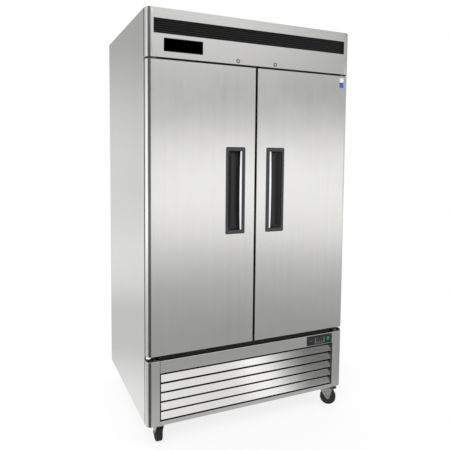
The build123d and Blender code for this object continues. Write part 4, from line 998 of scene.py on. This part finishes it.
# ------------------------------------------------------------------ handles
class REFRIGERATOR_OT_handles(bpy.types.Operator):
    """Moulds the handles' pockets and fits their polished grips"""

    bl_idname = "refrigerator.handles"
    bl_label = "Handles"

    def execute(self, context):
        for side, sign in SIDES.items():
            self.make(side, sign)
        return {"FINISHED"}

    def make(self, side, sign):
        node = f"door_handle_{side}"
        low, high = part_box(node)
        near, far = sorted((abs(low.x), abs(high.x)))
        proud = low.y
        deep = FRONT + bpy.context.scene.refrigerator_trim.pocket

        def ring(shape, inset_near, inset_far, inset_ends, radius, y):
            ends = sorted((sign * (near + inset_near), sign * (far - inset_far)))
            return shape.ring_of(*ends, low.z + inset_ends, high.z - inset_ends, radius, y)

        rim = Shape()
        rim.skin([
            ring(rim, 0.0, 0.0, 0.0, 0.0065, FRONT),
            ring(rim, 0.0002, 0.0002, 0.0002, 0.0065, FRONT - 0.0010),
            ring(rim, 0.0014, 0.0014, 0.0014, 0.0060, proud),
            ring(rim, 0.0165, 0.0125, 0.0175, 0.0040, proud + 0.0002),
            ring(rim, 0.0185, 0.0145, 0.0195, 0.0036, FRONT - 0.0010),
            ring(rim, 0.0190, 0.0150, 0.0200, 0.0034, FRONT + 0.0022),
        ], closed_end=False)
        rim.piece(f"handle_rim_{side}", "black_rim", f"door_{side}", "black_plastic", (node,))

        pocket = Shape()
        pocket.skin([
            ring(pocket, 0.0188, 0.0148, 0.0198, 0.0036, FRONT - 0.0002),
            ring(pocket, 0.0150, 0.0160, 0.0204, 0.0050, FRONT + 0.0050),
            ring(pocket, 0.0140, 0.0200, 0.0220, 0.0090, FRONT + 0.0110),
            ring(pocket, 0.0160, 0.0280, 0.0260, 0.0120, FRONT + 0.0170),
            ring(pocket, 0.0230, 0.0370, 0.0340, 0.0120, FRONT + 0.0215),
            ring(pocket, 0.0330, 0.0460, 0.0480, 0.0080, deep),
        ])
        pocket.piece(f"handle_pocket_{side}", "black_pocket", f"door_{side}", "black_plastic", crease=60)

        grip = Shape()
        width, steps = 0.0125, 22
        z0, z1 = low.z + 0.0200, high.z - 0.0200
        inner = near + 0.0190
        outline = []
        for step in range(steps + 1):
            share = step / steps
            bulge = sin(pi * share) ** 0.75
            reach = inner + width * (0.74 + 0.26 * bulge)
            outline.append((sign * reach, proud + 0.0004, z0 + (z1 - z0) * share))
        outline += [(sign * inner, proud + 0.0004, z1), (sign * inner, proud + 0.0004, z0)]
        verts = grip.prism(outline, (0, 0.005, 0))
        front = {
            edge for vert in verts for edge in vert.link_edges
            if all(abs(other.co.y - proud - 0.0004) < EPS for other in edge.verts)
        }
        grip.ease(front, 0.0012, 3)
        grip.piece(f"handle_grip_{side}", "polished", f"door_{side}", "bright_metal", crease=50)


# ------------------------------------------------------------------ header trim
class REFRIGERATOR_OT_header_trim(bpy.types.Operator):
    """Makes the header's louvre, its blank plate and the key locks"""

    bl_idname = "refrigerator.header_trim"
    bl_label = "Header trim"

    def execute(self, context):
        self.louvre()
        plate = Shape()
        low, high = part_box("name_plate")
        plate.skin([
            plate.ring_of(low.x + inset, high.x - inset, low.z + inset, high.z - inset, radius, y)
            for inset, radius, y in (
                (0.0, 0.003, high.y), (0.0, 0.003, low.y + 0.0004), (0.0006, 0.003, low.y),
                (0.0030, 0.002, low.y), (0.0034, 0.002, low.y + 0.0003),
            )
        ])
        plate.piece("blank_plate", "plate", "cabinet", "plate", ("name_plate",))
        for side, sign in SIDES.items():
            self.lock(side, sign)
        return {"FINISHED"}

    def louvre(self):
        low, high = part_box("header_louvre")
        lip, ribs = 0.006, 6
        x0, x1 = low.x + lip + 0.0008, high.x - lip - 0.0008
        z0, z1 = low.z + lip + 0.0008, high.z - lip - 0.0008
        back = FRONT + 0.0135
        strip = Shape()
        strip.skin([
            strip.ring_of(x0, x1, z0, z1, 0.0015, FRONT + 0.0040),
            strip.ring_of(x0, x1, z0, z1, 0.0015, FRONT - 0.0004),
            strip.ring_of(x0 + 0.0016, x1 - 0.0016, z0 + 0.0016, z1 - 0.0016, 0.0015, FRONT - 0.0008),
            strip.ring_of(x0 + 0.0030, x1 - 0.0030, z0 + 0.0030, z1 - 0.0030, 0.0015, FRONT + 0.0004),
            strip.ring_of(x0 + 0.0032, x1 - 0.0032, z0 + 0.0032, z1 - 0.0032, 0.0015, back),
        ])
        pitch = (z1 - z0 - 0.006) / ribs
        for rib in range(ribs):
            base = z0 + 0.003 + pitch * (rib + 0.35)
            outline = [
                (x0 + 0.0034, FRONT + 0.0004, base), (x0 + 0.0034, FRONT + 0.0004, base + 0.0026),
                (x0 + 0.0034, back - 0.0012, base + 0.0062), (x0 + 0.0034, back - 0.0012, base + 0.0042),
            ]
            verts = strip.prism(outline, (x1 - x0 - 0.0068, 0, 0))
            nose = {
                edge for vert in verts for edge in vert.link_edges
                if all(abs(other.co.y - FRONT - 0.0004) < EPS for other in edge.verts)
                and edge.calc_length() > 0.1
            }
            strip.ease(nose, 0.0009, 3)
        strip.piece("header_louvre_moulding", "black_plastic", "cabinet", "black_plastic", ("header_louvre",))

    def lock(self, side, sign):
        low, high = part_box("lock_housings")
        centre = Vector((sign * (high.x - LOCK_RADIUS), 0, (low.z + high.z) / 2))
        ring = Shape()
        outline = [
            (0.0066, high.y - FRONT), (0.0066, -0.0010), (0.0069, -0.0016), (0.0078, -0.0021),
            (0.0090, -0.0019), (0.0098, -0.0011), (0.0101, 0.0), (0.0085, 0.0),
            (0.0085, high.y - FRONT), (0.0066, high.y - FRONT),
        ]
        ring.turned(outline, centre + Vector((0, FRONT, 0)), (0, 1, 0), 36, (1, 0, 0))
        replaced = ("lock_housings",) if sign < 0 else ()
        ring.piece(f"lock_ring_{side}", "dark_steel", "cabinet", "bright_metal", replaced)
        plug = Shape()
        face = FRONT - 0.0013
        plug.rod(centre + Vector((0, face, 0)), centre + Vector((0, high.y + 0.001, 0)), 0.0064, 32)
        slot = plug.framed(-1, centre.x - 0.0038, centre.x + 0.0038, centre.z - 0.0008, centre.z + 0.0008)
        plug.sink([f for f in slot if abs(f.calc_center_median().y - face) < EPS], (0, 0.004, 0))
        tongue_y = high.y + 0.002
        x0, x1 = sorted((centre.x - sign * 0.006, centre.x + sign * 0.034))
        plug.skin([
            plug.ring_of(x0, x1, centre.z - 0.006, centre.z + 0.006, 0.0055, y)
            for y in (tongue_y, tongue_y + 0.0025)
        ])
        bmesh.ops.holes_fill(plug.bm, edges=[edge for edge in plug.bm.edges if edge.is_boundary], sides=0)
        plug.piece(
            f"lock_plug_turned_{side}", "steel", f"lock_{side}", "bright_metal", (f"lock_plug_{side}",)
        )


# ------------------------------------------------------------------ lower grille
class REFRIGERATOR_OT_grille(bpy.types.Operator):
    """Folds the lower grille's blades and makes its end brackets"""

    bl_idname = "refrigerator.grille"
    bl_label = "Lower grille"

    def execute(self, context):
        low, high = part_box("louvre_panel")
        blades, gap, foot, head, slope = 5, 0.0165, 0.0055, 0.015, 0.017
        thickness = sheet().thickness
        edge = high.x - 0.0032
        y0 = low.y
        pitch = (high.z - low.z - foot - head + gap) / blades
        height = pitch - gap
        first = low.z + foot
        for blade in range(blades):
            base = first + pitch * blade
            shape = Shape()
            outline = [
                (y0 + 0.0095, base + 0.0001), (y0, base), (y0 + slope, base + height),
                (y0 + slope + 0.0045, base + height),
            ]
            verts = [shape.bm.verts.new((-edge, y, z)) for y, z in outline]
            edges = [shape.bm.edges.new(pair) for pair in zip(verts, verts[1:])]
            made = bmesh.ops.extrude_edge_only(shape.bm, edges=edges)["geom"]
            moved = [item for item in made if is_vertex(item)]
            bmesh.ops.translate(shape.bm, vec=(2 * edge, 0, 0), verts=moved)
            bends = [e for e in shape.bm.edges if e.is_manifold]
            shape.ease(bends, 0.0011, 3)
            replaced = ("louvre_panel",) if blade == 0 else ()
            name = f"grille_blade_{blade + 1}"
            piece = shape.piece(
                name, "stainless_blade", "cabinet", "stainless", replaced, crease=40, wall=True
            )
            thicken(piece, thickness)
        frame_piece = Shape()
        for sign in SIDES.values():
            ends = sorted((sign * high.x, sign * (high.x - 0.0028)))
            frame_piece.box((ends[0], low.y + 0.001, low.z), (ends[1], high.y, high.z), 0.0006)
            flange = sorted((sign * high.x, sign * (high.x - 0.018)))
            frame_piece.box((flange[0], high.y - 0.002, low.z), (flange[1], high.y, high.z), 0.0005)
        frame_piece.box((-0.0015, high.y - 0.002, low.z), (0.0015, high.y, high.z), 0.0005)
        frame_piece.piece("grille_brackets", "black_paint", "cabinet", "stainless")
        # The filter mat is near-black so the gaps between the blades read as shade: partly the filter's own
        # colour, partly painted shade.
        mat = Shape()
        mat.box(
            (-edge + 0.002, high.y + 0.0015, low.z + 0.001), (edge - 0.002, high.y + 0.0055, high.z - 0.001),
            0.0008,
        )
        mat.piece("air_filter", "filter", "cabinet")
        rivets = Shape()
        for sign in SIDES.values():
            for blade in range(blades):
                z = first + pitch * blade + height * 0.62
                place = (sign * (high.x - 0.0028), y0 + 0.004, z)
                screw_head(rivets, place, (-sign, 0, 0), 0.0032, 0.0018)
        rivets.piece("grille_rivets", "steel", "cabinet", "bright_metal")
        return {"FINISHED"}


# ------------------------------------------------------------------ controller
class REFRIGERATOR_OT_controller(bpy.types.Operator):
    """Makes the controller's bezel, display, keys and switches"""

    bl_idname = "refrigerator.controller"
    bl_label = "Controller"

    def execute(self, context):
        eased_copy("controller_housing", "black_plastic", 0.0008, "black_plastic")
        low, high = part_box("controller_display")
        glass = Shape()
        glass.box(low, high, 0.0008)
        glass.piece("display_window", "window", "cabinet", "display", ("controller_display",))
        bezel = Shape()
        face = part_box("controller_housing")[0].y
        width, thick = 0.0085, 0.0022
        left, right = low.x - width - 0.001, high.x + width + 0.001
        base = low.z - width * 0.62
        top = high.z + 0.001
        outline = [
            (left, base), (right, base), (right, top),
            (high.x + 0.001, top), (high.x + 0.001, low.z - 0.0005),
            (low.x - 0.001, low.z - 0.0005), (low.x - 0.001, top), (left, top),
        ]
        verts = bezel.prism([(x, face, z) for x, z in outline], (0, -thick, 0))
        bezel.ease({edge for vert in verts for edge in vert.link_edges}, 0.0007, 2)
        bezel.piece("display_bezel", "grey_bezel", "cabinet", "grey_plastic")
        keys = Shape()
        for key in range(3):
            x = low.x + (high.x - low.x) * (key + 0.5) / 3
            keys.turned(
                [(0.0, -0.0012), (0.0018, -0.0011), (0.0024, -0.0006), (0.0025, 0.0)],
                (x, low.y, low.z + 0.0045), (0, 1, 0), 16, (1, 0, 0),
            )
        keys.piece("display_keys", "grey_plastic", "cabinet", "grey_plastic")
        eased_copy("power_rocker", "green", 0.0006, "rocker_green")
        eased_copy("light_rocker", "black_rim", 0.0006, "black_plastic")
        return {"FINISHED"}


# ------------------------------------------------------------------ casters
class REFRIGERATOR_OT_casters(bpy.types.Operator):
    """Makes the caster wheels and eases the forks, plates and pedals"""

    bl_idname = "refrigerator.casters"
    bl_label = "Casters"

    def execute(self, context):
        for name in CASTERS:
            self.wheel(name)
            eased_copy(f"caster_fork_{name}", "zinc", 0.0005, "zinc")
        for name in ("front_left", "front_right"):
            eased_copy(f"brake_pedal_{name}", "black_paint", 0.0006, "zinc")
        eased_copy("caster_plates", "zinc", 0.0005, "zinc")
        return {"FINISHED"}

    def wheel(self, name):
        node = f"caster_wheel_{name}"
        joint = next(j for j in frame["joints"] if j["child"] == body_of(node))
        centre = Vector(joint["pos_m"])
        axis = Vector(joint["axis"]).normalized()
        low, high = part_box(node)
        radius = (high.z - low.z) / 2
        half = 0.016
        settings = bpy.context.scene.refrigerator_casters
        tread = settings.tread
        tyre = Shape()
        rim = radius - 0.0095
        outline = [(rim, -half + 0.0030), (rim, -half + 0.0006), (rim + 0.0015, -half)]
        outline += [(radius - tread, -half)]
        for step in range(1, 6):
            angle = step / 5 * pi / 2
            outline.append((radius - tread + tread * sin(angle), -half + tread - tread * cos(angle)))
        outline += [(r, -along) for r, along in reversed(outline)]
        outline.append(outline[0])
        tyre.turned(outline, centre, axis, settings.steps)
        tyre.piece(f"caster_tyre_{name}", "tyre", body_of(node), "tyre", (node,))
        core = Shape()
        web = 0.0075
        outline = [
            (0.00505, -half), (0.0095, -half), (0.0105, -half + 0.0010), (0.0120, -web), (rim - 0.0065, -web),
            (rim - 0.0045, -half + 0.0022), (rim + 0.0002, -half + 0.0022),
        ]
        outline += [(r, -along) for r, along in reversed(outline)]
        outline.append(outline[0])
        core.turned(outline, centre, axis, settings.steps)
        across = axis.cross(Vector((0, 0, 1))).normalized()
        for spoke in range(6):
            angle = spoke * pi / 3
            ray = across * cos(angle) + Vector((0, 0, 1)) * sin(angle)
            for side in (-1, 1):
                low, high = (0.0105, -0.0014, web - 0.001), (rim - 0.005, 0.0014, half - 0.0030)
                verts = core.box(low, high, 0.0005, 1)
                local = Matrix((ray, (axis * side).cross(ray), axis * side)).transposed().to_4x4()
                core.turn(Matrix.Translation(centre) @ local, verts)
        core.piece(f"caster_core_{name}", "core", body_of(node), "tyre")


# ------------------------------------------------------------------ everything else
PLAIN_NODES = {
    "breaker_frame": ("black_plastic", 0.0008, "black_plastic"),
    "centre_mullion": ("liner", 0.0008, "liner_metal"),
    # The zinc hinge brackets take the dark steel finish as painted shade, for they sit in the shadow under
    # the doors.
    "hinge_brackets": ("dark_steel", 0.0006, "zinc"),
    "fasteners": ("steel", 0.0004, "zinc"),
    "compressor": ("black_paint", 0.0010, "black_paint"),
    "condenser_coil": ("fins", 0.0008, "fins"),
    "fan_shroud": ("galvanised", 0.0008, "outer_galvanised"),
    "fan_motors": ("grey_plastic", 0.0008, "grey_plastic"),
    "electrical_box": ("grey_plastic", 0.0010, "grey_plastic"),
    "condensate_pan": ("black_plastic", 0.0008, "black_plastic"),
    "evaporator_cover": ("liner", 0.0008, "liner_metal"),
    "evaporator_coil": ("fins", 0.0008, "fins"),
    "interior_lamp": ("lens", 0.0010, "lamp"),
    "shelf_supports": ("steel", 0.0004, "pilaster"),
    "evaporator_fan_left": ("grey_plastic", 0.0005, "grey_plastic"),
    "evaporator_fan_right": ("grey_plastic", 0.0005, "grey_plastic"),
    "condenser_fan": ("grey_plastic", 0.0005, "grey_plastic"),
}


class REFRIGERATOR_OT_fittings(bpy.types.Operator):
    """Eases the edges of the remaining fittings and gives them their finishes"""

    bl_idname = "refrigerator.fittings"
    bl_label = "Fittings"

    def execute(self, context):
        for node, (finish, radius, slot) in PLAIN_NODES.items():
            eased_copy(node, finish, radius, slot)
        paint_node("inner_liner", "liner")
        paint_node("refrigerant_lines", "copper")
        paint_node("cabinet_foam", "foam")
        for side in SIDES:
            paint_node(f"door_core_{side}", "foam")
            eased_copy(f"door_liner_{side}", "white_plastic", 0.0022, "liner_plastic", segments=3)
            eased_copy(f"door_gasket_{side}", "gasket", 0.0024, "gasket", segments=3)
        return {"FINISHED"}


# ------------------------------------------------------------------ inside
class REFRIGERATOR_OT_interior(bpy.types.Operator):
    """Makes the wire shelves, black patches of painted shade for the slots in the shelf rails, and the fan
    guards
    """

    bl_idname = "refrigerator.interior"
    bl_label = "Interior"

    def execute(self, context):
        self.shelves()
        self.slots()
        self.guards()
        return {"FINISHED"}

    def shelves(self):
        rim, wire, cross = 0.0032, 0.0016, 0.0022
        pitch, bars = 0.025, 5
        boxes = sorted(parts_in("wire_shelves"), key=lambda box: tuple(box[0]))
        for count, (low, high) in enumerate(boxes, 1):
            shelf = Shape()
            z = high.z - rim
            corners = [
                (low.x + rim, low.y + rim, z), (high.x - rim, low.y + rim, z),
                (high.x - rim, high.y - rim, z), (low.x + rim, high.y - rim, z),
            ]
            for start, end in zip(corners, corners[1:] + corners[:1]):
                shelf.rod(start, end, rim, 10)
            number = round((high.x - low.x) / pitch)
            for step in range(1, number):
                x = low.x + (high.x - low.x) * step / number
                shelf.rod((x, low.y + rim, high.z - wire), (x, high.y - rim, high.z - wire), wire, 8)
            for step in range(bars):
                y = low.y + (high.y - low.y) * (step + 0.5) / bars
                under = high.z - 2 * wire - cross
                shelf.rod((low.x + rim, y, under), (high.x - rim, y, under), cross, 8)
            replaced = ("wire_shelves",) if count == 1 else ()
            shelf.piece(f"wire_shelf_{count}", "epoxy", "cabinet", "shelf_epoxy", replaced)

    def slots(self):
        # Thin black boxes on the rails' faces: painted shade standing in for the slot openings.
        holes = Shape()
        pitch, tall, wide, deep, end = 0.025, 0.011, 0.0035, 0.0002, 0.02
        shortest_rail = 0.5
        for low, high in parts_in("shelf_supports"):
            if high.z - low.z < shortest_rail:
                continue
            along_side = high.x - low.x < high.y - low.y
            rows = int((high.z - low.z - 2 * end) / pitch)
            for row in range(rows):
                place = (low + high) / 2
                if along_side:
                    place.x = low.x if place.x > 0 else high.x
                    half = Vector((deep, wide / 2, 0))
                else:
                    place.y = low.y if place.y > 0 else high.y
                    half = Vector((wide / 2, deep, 0))
                place.z = low.z + end + pitch * row
                holes.box(place - half, place + half + Vector((0, 0, tall)))
        holes.piece("rail_slots", "filter", "cabinet")

    def guards(self):
        cover_low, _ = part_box("evaporator_cover")
        rings, wire, spoke_wire = 6, 0.0011, 0.0013
        for side in SIDES:
            low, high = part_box(f"evaporator_fan_{side}")
            centre = (low + high) / 2
            radius = (high.x - low.x) / 2 + 0.008
            guard = Shape()
            for ring in range(1, rings + 1):
                reach = radius * ring / rings
                turns = [TURN * step / 8 for step in range(9)]
                outline = [(reach + wire * cos(turn), wire * sin(turn)) for turn in turns]
                guard.turned(outline, (centre.x, cover_low.y - 0.0055, centre.z), (0, 1, 0), 40, (1, 0, 0))
            for spoke in range(4):
                ray = Vector((cos(spoke * pi / 2 + pi / 4), 0, sin(spoke * pi / 2 + pi / 4)))
                hub = Vector((centre.x, cover_low.y - 0.0034, centre.z))
                guard.rod(hub + ray * radius / rings, hub + ray * (radius + 0.004), spoke_wire, 8)
            guard.piece(f"fan_guard_{side}", "steel", "cabinet")


# ------------------------------------------------------------------ painted gap shade and screws
class REFRIGERATOR_OT_seams(bpy.types.Operator):
    """Lays thin dark strips of painted shade in the gaps behind the front sheet metal and puts the screws in
    the back
    """

    bl_idname = "refrigerator.seams"
    bl_label = "Seams and screws"

    def execute(self, context):
        proud, width = 0.0003, 0.0085
        fascia_low, fascia_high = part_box("header_fascia")
        post_low, post_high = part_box("corner_posts")
        for side, sign in SIDES.items():
            near, far = sorted((sign * (HALF_WIDTH - 0.0002), sign * (HALF_WIDTH + proud)))
            # Dark strips in the gasket finish on the side faces at the back of the header and the posts:
            # painted shade in the gaps where the front sheet metal meets the side panels.
            trim = Shape()
            for low, high in ((fascia_low, fascia_high), (post_low, post_high)):
                back = high.y - 0.0004
                trim.box((near, back - width, low.z + 0.003), (far, back, high.z - 0.003))
            trim.piece(f"edge_strip_{side}", "gasket", "cabinet")
            low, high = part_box(f"door_skin_{side}")
            # A dark strip at the back of the door's side: painted shade in the gap between the door and the
            # cabinet.
            strip = Shape()
            strip.box((near, high.y - width, low.z + 0.003), (far, high.y - 0.0004, high.z - 0.003))
            strip.piece(f"door_edge_strip_{side}", "gasket", f"door_{side}")
        screws = Shape()
        grille_low, grille_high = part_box("rear_grille")
        for column in range(5):
            x = (column - 2) * (HALF_WIDTH - 0.026) / 2
            for z in (grille_low.z + 0.018, grille_high.z - 0.018, grille_high.z + 0.022, TOP - 0.03):
                screw_head(screws, (x, BACK, z), (0, 1, 0))
        for row in range(1, 5):
            z = grille_high.z + (TOP - grille_high.z) * row / 5
            for sign in SIDES.values():
                screw_head(screws, (sign * (HALF_WIDTH - 0.026), BACK, z), (0, 1, 0))
        screws.piece("rear_screws", "steel", "cabinet")
        return {"FINISHED"}


class REFRIGERATOR_OT_sticker(bpy.types.Operator):
    """Puts the small plain two-colour label on the right door"""

    bl_idname = "refrigerator.sticker"
    bl_label = "Label"

    def execute(self, context):
        _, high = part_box("door_skin_right")
        x0, x1 = high.x - 0.060, high.x - 0.034
        z0, z1 = high.z - 0.064, high.z - 0.012
        split = z0 + (z1 - z0) * 0.55
        for name, base, top in (("blue", z0, split), ("white", split, z1)):
            label = Shape()
            label.skin([
                label.ring_of(x0, x1, base, top, 0.0006, FRONT),
                label.ring_of(x0, x1, base, top, 0.0006, FRONT - 0.00025),
            ])
            label.piece(f"label_{name}", f"label_{name}", "door_right")
        return {"FINISHED"}


class REFRIGERATOR_PT_panel(bpy.types.Panel):
    """Lists the steps that build the refrigerator"""

    bl_idname = "REFRIGERATOR_PT_panel"
    bl_label = "Refrigerator"
    bl_space_type = "VIEW_3D"
    bl_region_type = "UI"
    bl_category = "Refrigerator"

    def draw(self, context):
        for group in SETTINGS:
            settings = getattr(context.scene, group)
            box = self.layout.box()
            for key in settings.__annotations__:
                box.prop(settings, key)
        for step in STEPS:
            self.layout.operator(step.bl_idname)


SETTINGS = {
    "refrigerator_sheet": SheetSettings,
    "refrigerator_trim": TrimSettings,
    "refrigerator_casters": CasterSettings,
    "refrigerator_stage": StageSettings,
}
STEPS = (
    REFRIGERATOR_OT_stage,
    REFRIGERATOR_OT_sheet_metal,
    REFRIGERATOR_OT_outer_panels,
    REFRIGERATOR_OT_handles,
    REFRIGERATOR_OT_header_trim,
    REFRIGERATOR_OT_grille,
    REFRIGERATOR_OT_controller,
    REFRIGERATOR_OT_casters,
    REFRIGERATOR_OT_fittings,
    REFRIGERATOR_OT_interior,
    REFRIGERATOR_OT_seams,
    REFRIGERATOR_OT_sticker,
)


def register():
    for group in (*SETTINGS.values(), *STEPS, REFRIGERATOR_PT_panel):
        bpy.utils.register_class(group)
    for name, group in SETTINGS.items():
        setattr(bpy.types.Scene, name, bpy.props.PointerProperty(type=group))


def unregister():
    for name in SETTINGS:
        delattr(bpy.types.Scene, name)
    for group in (REFRIGERATOR_PT_panel, *reversed(STEPS), *SETTINGS.values()):
        bpy.utils.unregister_class(group)


def main():
    register()
    for step in STEPS:
        area, name = step.bl_idname.split(".")
        getattr(getattr(bpy.ops, area), name)()


if __name__ == "__main__":
    main()
